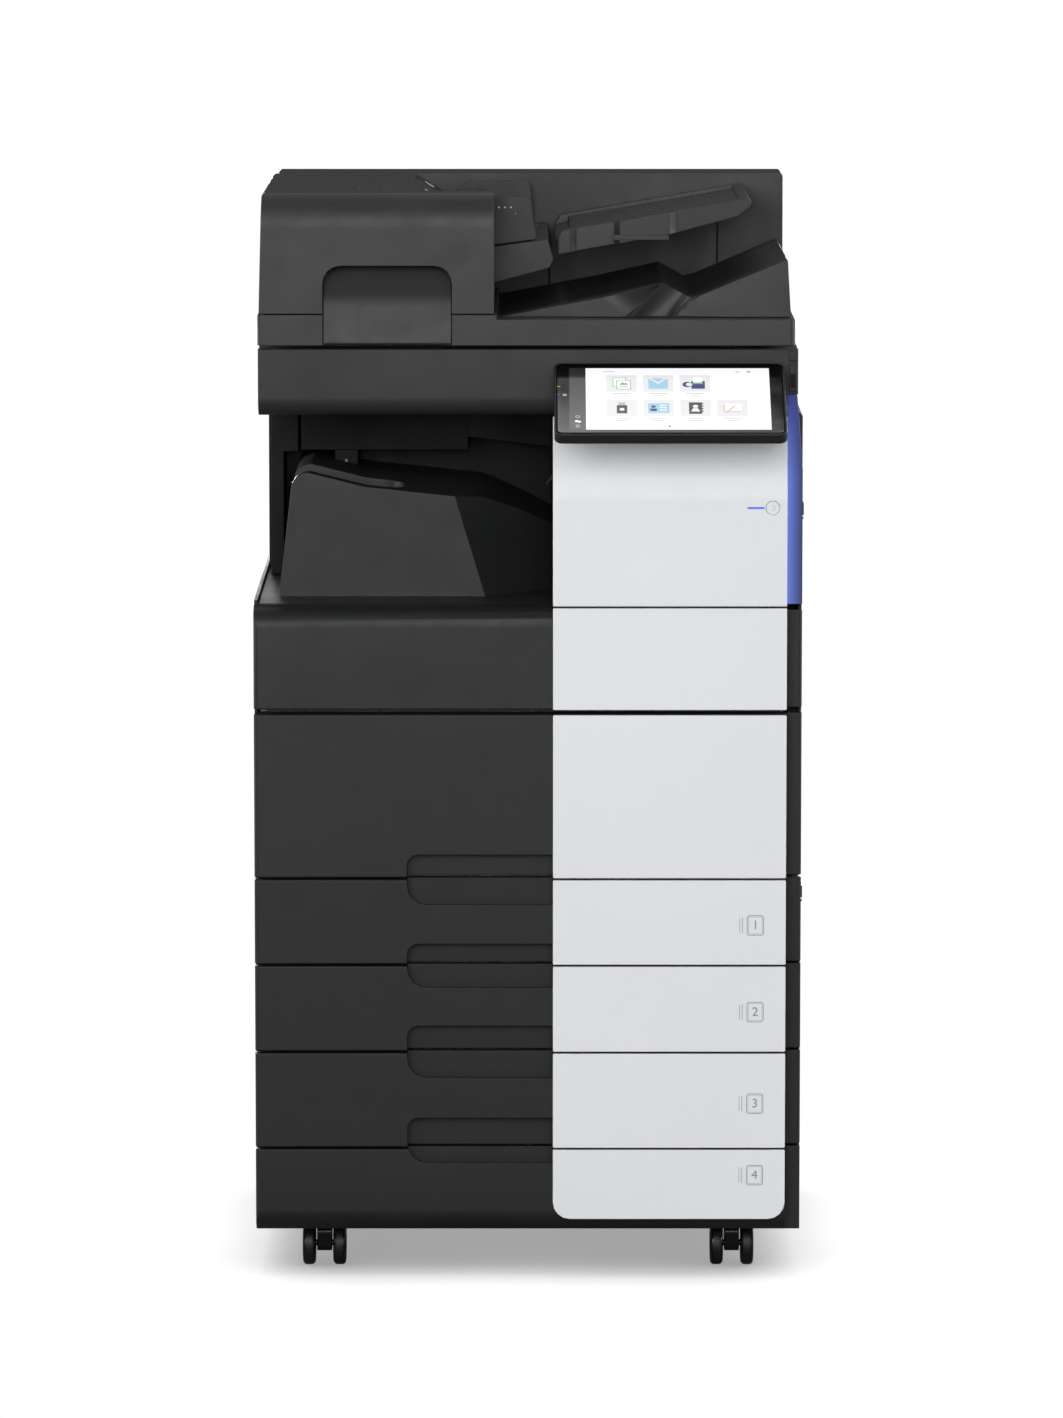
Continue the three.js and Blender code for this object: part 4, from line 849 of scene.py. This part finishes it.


# ---- Output bay ----
# The stacker is one large moulding over the engine, with a finger notch and a rounded nose. The dark wall behind
# it, made darker still with weak gloss as painted shade of the bay, carries the beam and the sloping guide over
# the paper exit, where rubber rollers push sheets out.

scanner_plastic = plastic("scanner_plastic", "262727", 0.5)
# Dark plastic made darker still, with weak gloss: partly the wall's own colour, partly painted shade of the deep
# bay under the scanner.
bay_plastic_painted_shade = plastic("bay_plastic_painted_shade", "0D0E0F", 0.5, fixed={"Specular IOR Level": 0.16})
tray = merged("output_tray")
softened(tray, 1.0, 3, 40)
stands_for(
    shown("output_tray_skin", tray, "machine", "scanner_plastic", scanner_plastic, crease=40), "output_tray"
)
refined("bay_rear_cover", "dark_plastic", bay_plastic_painted_shade, 1.0, 2)
exits = bmesh.new()
for z, radius in ((886, 8), (869.6, 7)):
    rod(exits, (36, -104, z), (36, 182, z), 2.6, 16, paint=1)
    for y in (-70, -20, 60, 110, 150):
        rod(exits, (36, y - 8, z), (36, y + 8, z), radius, 28, edge=0.8)
slab(exits, (31.5, 46), (-106, 183), (851, 855), 1)
for y in range(-96, 176, 16):
    extruded(exits, "y", [(32, 855), (32, 859), (38, 861), (46, 861), (46, 855)], y - 0.8, y + 0.8, 0.2)
shown("exit_rollers", exits, "machine", "roller_rubber", roller_rubber, bright_steel)
flag = bmesh.new()
extruded(flag, "y", [(30.5, 905), (33, 905), (31, 888), (22, 876), (20.6, 877.4), (28.4, 889)], 33, 40, 0.5)
shown("paper_full_flag", flag, "machine", "dark_plastic", engine_black)
# The port's block uses the bay wall's darkened plastic, so it carries the same painted shade.
port = bmesh.new()
slab(port, (-224, -197), (109.5, 196), (884, 910), 1.2, 3)
rod(port, (-210.5, 110, 897), (-210.5, 108.9, 897), 1.8, 16, edge=0.3, paint=1)
shown("bay_service_port", port, "machine", "dark_plastic", bay_plastic_painted_shade, mark_grey)


# ---- Scanner ----
# A deep moulded tub with float glass let into its top. A steel carriage with the lamp and a mirror runs on two
# rods under the glass, and a narrow strip of glass at the left reads originals as they are fed past it.

refined("scanner_housing", "scanner_plastic", scanner_plastic, 1.0, 3)


def smeared(tree, shader, scale, detail, distortion, low, high):
    """Roughens a glossy surface a little in wiped patches."""
    wipes = wired(
        tree, "ShaderNodeTexNoise", {"Scale": scale, "Detail": detail, "Distortion": distortion},
        {"Vector": object_place(tree)},
    )
    limits = wired(tree, "ShaderNodeMapRange", {"To Min": low, "To Max": high}, {"Value": wipes.outputs[0]})
    tree.links.new(limits.outputs["Result"], shader.inputs["Roughness"])


glass, tree, shader = started(
    "float_glass", {"Base Color": (0.93, 0.98, 0.96, 1), "Transmission Weight": 1.0, "IOR": 1.5}
)
smeared(tree, shader, 9.0, 5.0, 0.0, 0.01, 0.05)
refined("platen_glass", "clear_glass", glass, 0.5, 2)

glass_low, glass_high = corners_of("platen_glass")
strip = bmesh.new()
slab(strip, (-267.6, -250.4), (glass_low.y + 6.5, glass_high.y - 6.5), (glass_high.z - 3, glass_high.z), 0.4)
shown("reading_glass", strip, "machine", "clear_glass", glass)
glass_left, glass_front, _ = glass_low
glass_right, glass_back, glass_top = glass_high
scales = bmesh.new()
frame_top = (glass_top - 0.6, glass_top + 0.3)
slab(scales, (glass_left - 16, glass_left - 1), (glass_front, glass_back), frame_top, 0.15)
slab(scales, (glass_left - 16, glass_right), (glass_back + 1, glass_back + 14), frame_top, 0.15)
printed = (glass_top, glass_top + 0.42)
for k, x in enumerate(range(int(glass_left) + 4, int(glass_right), 10)):
    tall = 8 if k % 5 == 0 else 4
    slab(scales, (x, x + 0.7), (glass_back + 1.5, glass_back + 1.5 + tall), printed, paint=1)
for k, y in enumerate(range(int(glass_back) - 4, int(glass_front), -10)):
    tall = 8 if k % 5 == 0 else 4
    slab(scales, (glass_left - 1.5 - tall, glass_left - 1.5), (y, y + 0.7), printed, paint=1)
arrow = [(glass_left - 2, glass_back + 1), (glass_left - 2, glass_back + 9), (glass_left - 11, glass_back + 5)]
extruded(scales, "z", arrow, glass_top, glass_top + 0.45, paint=2)
white_trim = plastic("scale_plastic", "E9E9E6", 0.5, 2200.0, 0.02, 0.04)
shown("original_scales", scales, "machine", "light_accent", white_trim, mark_grey, handle_blue)
refined("scan_carriage", "frame_steel", galvanised, 0.5, 1)
lamp = bmesh.new()
carriage_low, carriage_high = corners_of("scan_carriage")
front, back, top = carriage_low.y, carriage_high.y, carriage_high.z
rod(lamp, (-252, front + 12, top - 2), (-252, back - 12, top - 2), 3.2, 20, edge=0.4)
slab(lamp, (-276, -270), (front + 12, back - 12), (top - 1, top + 3), 0.6, paint=1)
for y in (front + 8, back - 8):
    slab(lamp, (-258, -246), (y - 4, y + 4), (top - 1, top + 4), 0.8, paint=2)
lamp_white = lit("lamp_white", "F2F4F2", 0.25)
shown("scan_lamp", lamp, "scan_carriage", "white_sheet", lamp_white, bright_steel, engine_black)
lens = bmesh.new()
slab(lens, (204, 278), (-40, 140), (985, 1003), 2, 3)
slab(lens, (228, 262), (20, 80), (1002, 1024), 2, 3)
rod(lens, (226, 50, 1013), (212, 50, 1013), 9, 32, edge=1, paint=1)
slab(lens, (270, 272.2), (-10, 110), (1002, 1034), 0.3, paint=2)
board_green = plastic("board_green", "1F4D33", 0.4, 500.0, 0.15)
shown("lens_unit", lens, "machine", "dark_plastic", engine_black, bright_steel, board_green)

ports = bmesh.new()
slab(ports, (291, 300.6), (-201.2, -198.6), (1003, 1035), 1.6, 3)
# The port's mouth is a near-black block: painted shade in place of the inside of the opening.
slab(ports, (293.2, 298.4), (-201.9, -200.6), (1008, 1024), 0.5, paint=1)
slab(ports, (290.6, 301.0), (-201.4, -198.8), (1037.5, 1049), 1.2, 3)
shown("scanner_side_ports", ports, "machine", "dark_plastic", engine_black, painted_socket_shade)
carried("hinge_left", black_steel)
carried("hinge_right", black_steel)


# ---- Lid and document feeder ----
# The lid is a shallow tub with a white pad under it. On its left stands the feeder: a cover that swings up over
# the rollers, a lifting table with side guides, and a steep tray under it for the originals coming back.

feeder_plastic = plastic("feeder_plastic", "2F302F", 0.48)
feeder_dark = plastic("feeder_inner_plastic", "252627", 0.48)
refined("feeder_base", "feeder_plastic", feeder_plastic, 0.9, 3, whole_faces=False)
pad_white = finish("pad_sheet", "EFEFEA", 0.6, moulded_skin, {"Grain": 400.0}, 0.02, 0.2)
refined("platen_pad", "white_sheet", pad_white, 0.8, 3)
refined("feeder_body", "dark_plastic", feeder_dark, 0.7, 2)

cover = merged("feeder_cover")
sunk(cover, 2, 1224, [(-196, -188, -92, -66), (-168, -153, -92, -66)], 2.2, 0.4)
softened(cover, 0.8, 3, 40)
stands_for(
    shown("feeder_cover_skin", cover, "feeder_cover", "feeder_plastic", feeder_plastic, crease=25), "feeder_cover"
)
back_cover = merged("feeder_rear_cover")
sunk(back_cover, 1, 205, [(220, 221, 1100, 1190), (24, 25, 1087, 1150)], 1.0, 0.1)
softened(back_cover, 0.9, 3)
stands_for(shown("feeder_rear_skin", back_cover, "feeder", "feeder_plastic", feeder_plastic), "feeder_rear_cover")
exit_tray = merged("feeder_exit_tray", False)
corners = [
    e for e in exit_tray.edges
    if e.is_manifold and e.calc_face_angle(0) > math.radians(50)
    and not any(90 < v.co.x / MM < 200 and v.co.y / MM < -150 for v in e.verts)
]
rounded(exit_tray, corners, 0.7, 2, clamp=False)
stands_for(
    shown("feeder_exit_skin", exit_tray, "feeder", "feeder_plastic", feeder_plastic, crease=40),
    "feeder_exit_tray",
)
refined("document_tray", "feeder_plastic", feeder_plastic, 1.0, 3)
refined("front_guide", "dark_plastic", feeder_dark, 0.7, 2)
refined("rear_guide", "dark_plastic", feeder_dark, 0.7, 2)
refined("release_lever", "dark_plastic", engine_black, 0.5, 2)

ribs = bmesh.new()
for y in range(-60, 190, 40):
    extruded(ribs, "y", [(50, 1173.9), (238, 1206.4), (236.5, 1207.1), (53, 1175.4)], y - 0.8, y + 0.8, 0.3)
slab(ribs, (96, 158), (-114.6, -112), (1167, 1173), 0.8, 3)
shown("document_tray_ribs", ribs, "document_tray", "feeder_plastic", feeder_plastic)
dots = bmesh.new()
for x in (-32.6, -25.9, -19.1):
    rod(dots, (x, -113.4, 1204), (x, -112.6, 1204), 1.0, 16, edge=0.1)
rod(dots, (-14, -113.3, 1197), (-14, -112.6, 1197), 0.8, 16, edge=0.1, paint=1)
mark_white = plastic("white_mark", "D6D7D8", 0.5, 2200.0, 0.02, 0.04)
shown("guide_marks", dots, "front_guide", "light_accent", mark_white, mark_grey)
table = bmesh.new()
rise = (1168.4 - 1144) / 182.5
for y in (-104, -88, -40, -8, 24, 112, 140, 166):
    x0, x1 = -92, 14
    z0, z1 = 1144 + (x0 + 160) * rise, 1144 + (x1 + 160) * rise
    outline = [(x0, z0 - 0.5), (x1, z1 - 0.5), (x1 - 2, z1 + 0.9), (x0 + 2, z0 + 0.9)]
    extruded(table, "y", outline, y - 0.8, y + 0.8, 0.3)
shown("table_ribs", table, "feeder", "dark_plastic", feeder_dark)

low, high = corners_of("pickup_roller")
x, z = (low.x + high.x) / 2, (low.z + high.z) / 2
tyre = bmesh.new()
for y in (6, 62):
    profile = [(y, 0), (y, 11.6), (y + 1.2, 12.8), (y + 20.8, 12.8), (y + 22, 11.6), (y + 22, 0)]
    turned(tyre, (x, 0, z), (0, 1, 0), profile, 40)
    for k in range(20):
        angle = 2 * math.pi * k / 20
        spot = Vector((x + 12.6 * math.cos(angle), y + 1.6, z + 12.6 * math.sin(angle)))
        rod(tyre, spot, spot + Vector((0, 18.8, 0)), 0.5, 6)
rod(tyre, (x, -6, z), (x, 96, z), 3, 20, edge=0.4, paint=1)
rod(tyre, (x, 29, z), (x, 61, z), 5.5, 28, edge=0.6, paint=2)
stands_for(
    shown("pickup_tyres", tyre, "pickup_roller", "roller_rubber", roller_rubber, bright_steel, engine_black),
    "pickup_roller",
)
feed = bmesh.new()
for x, z, radius in ((-190, 1184, 9), (-240, 1170, 10)):
    rod(feed, (x, -148, z), (x, 190, z), 3, 20, edge=0.4, paint=1)
    for y in (-110, -60, 0, 45, 100, 150):
        rod(feed, (x, y - 11, z), (x, y + 11, z), radius, 32, edge=1.0)
rod(feed, (-240, -149.5, 1170), (-240, -144, 1170), 14, 40, edge=0.8, paint=2)
rod(feed, (-190, -149.5, 1184), (-190, -144, 1184), 11, 40, edge=0.8, paint=3)
shown("feed_rollers", feed, "feeder", "roller_rubber", roller_rubber, bright_steel, handle_green, bottle_white)
chute = bmesh.new()
bend = [
    (-283, 1120), (-262, 1120), (-250, 1150), (-214, 1168), (-164, 1172), (-164, 1166), (-206, 1158),
    (-246, 1128), (-250, 1104), (-283, 1104),
]
for y in range(-140, 190, 18):
    extruded(chute, "y", bend, y - 0.9, y + 0.9, 0.3)
slab(chute, (-283, -164), (-149, 190), (1104, 1110), 1)
shown("feed_chute", chute, "feeder", "dark_plastic", engine_black)

plate = bmesh.new()
slope = Matrix.Rotation(math.atan2(21, 34), 4, "Y")
slab(plate, (-11, 11), (-22, 22), (0, 0.5), 0.2)
slab(plate, (-6, 6), (-4, 10), (0.4, 0.7), 0.1, paint=1)
extruded(plate, "z", [(-4, -13), (4, -13), (0, -18.5)], 0.4, 0.7, paint=1)
plate_place = Matrix.Translation(Vector((-114.5, 153, 1213.6)) * MM) @ slope
bmesh.ops.transform(plate, matrix=plate_place, verts=plate.verts)
shown("release_lever_plate", plate, "release_lever", "dark_plastic", engine_black, mark_white)
slope_label = bmesh.new()
slab(slope_label, (-9, 9), (-26, 26), (0.1, 0.5), 0.1)
for y in (-15, 0, 15):
    slab(slope_label, (-5, 3), (y - 4, y + 4), (0.4, 0.65), 0.1, paint=1)
label_place = Matrix.Translation(Vector((-114, 20, 1213.5)) * MM) @ slope
bmesh.ops.transform(slope_label, matrix=label_place, verts=slope_label.verts)
shown("feed_label", slope_label, "feeder_cover", "feeder_plastic", feeder_dark, mark_grey)


# ---- Control panel ----
# A tilting panel on an arm: a black glass front bonded into a shallow housing, over a ten-inch display whose
# picture is a plain menu of pictures on grey tiles.

screen_black, tree, shader = started("screen_glass", {
    "Base Color": (0.0012, 0.0012, 0.0015, 1), "Specular IOR Level": 0.3, "Coat Roughness": 0.03,
})
smeared(tree, shader, 14.0, 6.0, 1.5, 0.04, 0.13)

panel_plastic = plastic("panel_plastic", "1A1B1C", 0.42)
refined("panel_housing", "dark_plastic", panel_plastic, 1.4, 3)
refined("touch_screen", "screen_glass", screen_black, 0.5, 3)
refined("panel_arm", "dark_plastic", panel_plastic, 0.8, 2)

panel = next(j for j in frame["joints"] if j["name"] == "panel_tilt")
tilt = math.radians(26.9)
on_panel = Matrix.Translation(Vector(panel["pos_m"])) @ Matrix.Rotation(tilt, 4, "X")
FACE = 12.3
image = bmesh.new()
menu_colours = (
    ("display_white", "FBFAFC", 0.97), ("display_tile", "E4E3E6", 0.97), ("display_side", "2B282C", 0.9),
    ("display_green", "7CB66A", 0.9), ("display_sky", "9CCBE3", 0.95), ("display_navy", "1E2A78", 0.9),
    ("display_ink", "2A2A2C", 0.9), ("display_grey", "B9B9BD", 0.9), ("display_sand", "D9C7B2", 0.9),
)
WHITE, TILE, SIDE, GREEN, SKY, NAVY, INK, GREY, SAND = range(9)


def drawn(x, y, rows):
    """Draws rows of (paint, layer, outline) at a place on the display. Layers lie on each other like paper.

    Four numbers are the sides of a rectangle, three a dot's centre and radius, and pairs a shape's corners.
    """
    low = FACE + 0.01
    for paint, layer, outline in rows:
        high = FACE + 0.06 + 0.03 * layer
        if isinstance(outline[0], tuple):
            extruded(image, "z", [(x + a, y + b) for a, b in outline], low, high, paint=paint)
        elif len(outline) == 4:
            left, right, bottom, top = outline
            slab(image, (x + left, x + right), (y + bottom, y + top), (low, high), paint=paint)
        else:
            a, b, radius = outline
            rod(image, (x + a, y + b, low), (x + a, y + b, high), radius, 24, paint=paint)


drawn(0, 0, ((SIDE, 0, (-111.5, -93.2, -101.0, 27.3)), (WHITE, 0, (-93.2, 110.8, -101.0, 27.3))))
tile_pictures = (
    ((GREEN, 2, (7, 22, -7, 12)), (WHITE, 3, (7.8, 21.2, -6, 11)), (GREEN, 4, (11, 27, -12, 7)),
     (WHITE, 5, (11.9, 26.1, -11, 6)), (GREEN, 6, ((14, -3), (18, 3), (20, 0), (22, 2), (24, -3))),
     (GREEN, 6, (14, 24, -7, -5.6))),
    ((SKY, 2, (6, 27.6, -11, 10)), (TILE, 3, ((6, 11), (27.6, 11), (16.8, -1))),
     (SKY, 4, ((9, 11), (24.6, 11), (16.8, 3)))),
    ((NAVY, 2, (13, 28, -11, 5)), (WHITE, 3, (15, 25, 2, 13)), (GREEN, 4, (15, 26, -1, 1.6)),
     (NAVY, 2, (8.6, -2, 5.6)), (TILE, 3, (10.6, -2, 3.6))),
    ((INK, 2, (11, 22.6, -11, 6)), (GREY, 2, (13, 20.6, 6, 12)), (WHITE, 3, (16.8, -2.6, 2.8))),
    ((SKY, 2, (5, 28.6, -10, 10)), (NAVY, 3, (11, 3, 2.6)), (NAVY, 3, (7.4, 14.6, -6, -1)),
     *((WHITE, 3, (17.6, 26, k, k + 1.6)) for k in (-5, 0, 5))),
    ((INK, 2, (9.6, 24, -12, 12)), (WHITE, 3, (16.8, 3.6, 3.0)),
     (WHITE, 3, ((11.8, -7), (21.8, -7), (19.4, -0.6), (14.2, -0.6))),
     *((INK, 2, (24, 25.6, k, k + 2.6)) for k in (-8, -2.5, 3, 8))),
    ((SAND, 2, (7, 26, -8, 7)), (WHITE, 3, (8.6, 27.4, -6, 9)), (SAND, 4, ((9, -9), (11, -10), (21, 4), (19, 5)))),
)
tiles = [(k, 12.3, -22.3) for k in range(3)] + [(k, -39.4, -73.4) for k in range(4)]
for (column, top, bottom), picture in zip(tiles, tile_pictures):
    x = -70.2 + 40.6 * column
    tile = (TILE, 1, (0, 33.7, 0, top - bottom))
    drawn(x, bottom, (tile, (GREY, 1, (7, 27, -4.6, -3.2)), (GREY, 1, (11, 23, -9.2, -8.0))))
    drawn(x, (top + bottom) / 2, picture)
drawn(-93.2, -94, ((INK, 1, (92, 0, 1.5)), *((TILE, 1, (92 + 7 * k, 0, 1.2)) for k in (1, 2, 3))))
drawn(-93.2, 27.3, (
    (GREY, 1, (169, -7.6, 2.2)), (WHITE, 2, (169, -7.6, 1.4)),
    (GREY, 1, ((179, -5), (184, -6.6), (182, -10), (180, -9))), (GREY, 1, (20, 32, -7.6, -6.4)),
))
drawn(0, 0, (
    (GREY, 1, (-102.4, -74, 2.6)), (SIDE, 2, (-102.4, -74, 1.7)), (WHITE, 1, (-103.4, -83.6, 2.2)),
    (WHITE, 1, (-100.6, -84.6, 1.9)), *((GREY, 1, (-104.6, -100.2, -96 + k, -95 + k)) for k in (0, 2, 4)),
))
bmesh.ops.transform(image, matrix=on_panel, verts=image.verts)
shown(
    "display_picture", image, "control_panel", "screen_glass",
    *(lit(name, code, strength, 0.12) for name, code, strength in menu_colours),
)
marks = bmesh.new()
slab(marks, (-125, -121.4), (-11.8, -10.6), (FACE, FACE + 0.1))
slab(marks, (-125, -122), (-29, -27.8), (FACE, FACE + 0.1), paint=1)
rod(marks, (-116.6, -28.4, FACE), (-116.6, -28.4, FACE + 0.08), 2.1, 24, paint=2)
rod(marks, (-116.6, -28.0, FACE), (-116.6, -28.0, FACE + 0.12), 1.2, 24, paint=3)
bmesh.ops.transform(marks, matrix=on_panel, verts=marks.verts)
shown(
    "panel_lamps", marks, "control_panel", "screen_glass", lit("lamp_amber", "D9A441", 0.9),
    lit("lamp_blue", "3446C8", 0.9), lit("mark_lit", "E8E8E8", 0.8), screen_black,
)


# ---- Studio ----
# A plain white floor and room, the floor shown to the camera as an even white glow with painted contact shadows
# around the machine, a large soft light before the machine and weaker ones at its sides, and the camera, a little
# above the machine's top and level with its middle.

scene = bpy.context.scene
scene.view_settings.view_transform = "Standard"
floor_mesh = bmesh.new()
bmesh.ops.create_grid(floor_mesh, x_segments=2, y_segments=2, size=30)
floor_data = bpy.data.meshes.new("floor")
floor_mesh.to_mesh(floor_data)
floor_mesh.free()
floor = bpy.data.objects.new("floor", floor_data)
scene.collection.objects.link(floor)
pale, tree, shader = started("pale_floor", {"Base Color": (0.22, 0.22, 0.22, 1), "Roughness": 0.9})
# Painted contact shadow: ambient occlusion near the machine and its casters dims the floor's glow that the camera
# sees.
corner_shade = wired(tree, "ShaderNodeAmbientOcclusion", {"Distance": 0.16})
corner_shade.samples = 16
painted_contact_shadow = wired(
    tree, "ShaderNodeMapRange", {"From Min": 0.15, "From Max": 0.75, "To Min": 0.35, "To Max": 1.02},
    {"Value": corner_shade.outputs["AO"]},
)
paper = wired(tree, "ShaderNodeEmission", (), {"Strength": painted_contact_shadow.outputs["Result"]})


def seen_or_lit(tree, lighting, seen, target):
    """Shows one shader to the camera while the other lights the machine."""
    ray = tree.nodes.new("ShaderNodeLightPath")
    sources = {"Fac": ray.outputs["Is Camera Ray"], 1: lighting, 2: seen}
    choice = wired(tree, "ShaderNodeMixShader", (), sources)
    tree.links.new(choice.outputs["Shader"], tree.nodes[target].inputs["Surface"])


seen_or_lit(tree, shader.outputs["BSDF"], paper.outputs["Emission"], "Material Output")
floor_data.materials.append(pale)

room = bpy.data.worlds.new("room")
scene.world = room
room.use_nodes = True
sky = room.node_tree
surround = sky.nodes["Background"]
seen = wired(sky, "ShaderNodeBackground", {"Color": (1, 1, 1, 1), "Strength": 1.02})
direction = sky.nodes.new("ShaderNodeTexCoord").outputs["Generated"]
towards = wired(sky, "ShaderNodeSeparateXYZ", (), {"Vector": direction})
ahead = wired(
    sky, "ShaderNodeMapRange", {"From Min": -1.0, "To Min": 0.74, "To Max": 0.13}, {"Value": towards.outputs["Y"]}
)
upward = wired(
    sky, "ShaderNodeMapRange", {"From Min": 0.12, "From Max": 0.75, "To Min": 1.0, "To Max": 0.12},
    {"Value": towards.outputs["Z"]},
)
strength = wired(sky, "ShaderNodeMath", (), {0: ahead.outputs["Result"], 1: upward.outputs["Result"]})
strength.operation = "MULTIPLY"
sky.links.new(strength.outputs["Value"], surround.inputs["Strength"])
surround.inputs["Color"].default_value = (0.97, 0.98, 1.0, 1)
seen_or_lit(sky, surround.outputs["Background"], seen.outputs["Background"], "World Output")


def softbox(name, place, target, size, power):
    """A rectangular soft light aimed at a point."""
    data = bpy.data.lights.new(name, "AREA")
    data.shape = "RECTANGLE"
    data.size, data.size_y = size
    data.energy = power
    light = bpy.data.objects.new(name, data)
    light.location = place
    light.rotation_euler = (Vector(target) - Vector(place)).to_track_quat("-Z", "Y").to_euler()
    scene.collection.objects.link(light)


softbox("key_light", (-0.6, -6.0, 2.35), (0, 0, 0.85), (4.0, 2.0), 200)
softbox("left_light", (-4.4, 0.2, 1.5), (0, 0, 0.6), (2.6, 1.6), 110)
softbox("right_light", (4.4, 0.2, 1.5), (0, 0, 0.6), (2.6, 1.6), 110)
softbox("back_light", (0, 4.6, 0.9), (0, 0, 0.75), (3.4, 0.6), 230)
softbox("top_light", (0.2, 1.2, 5.4), (0, 0, 0.6), (2.4, 2.0), 70)

camera = bpy.data.objects.new("camera", bpy.data.cameras.new("camera"))
camera.location = (0.0039, -8.4505, 1.7182)
camera.rotation_euler = (math.radians(82.6), 0, 0)
camera.data.lens = 188.2257
scene.collection.objects.link(camera)
scene.camera = camera
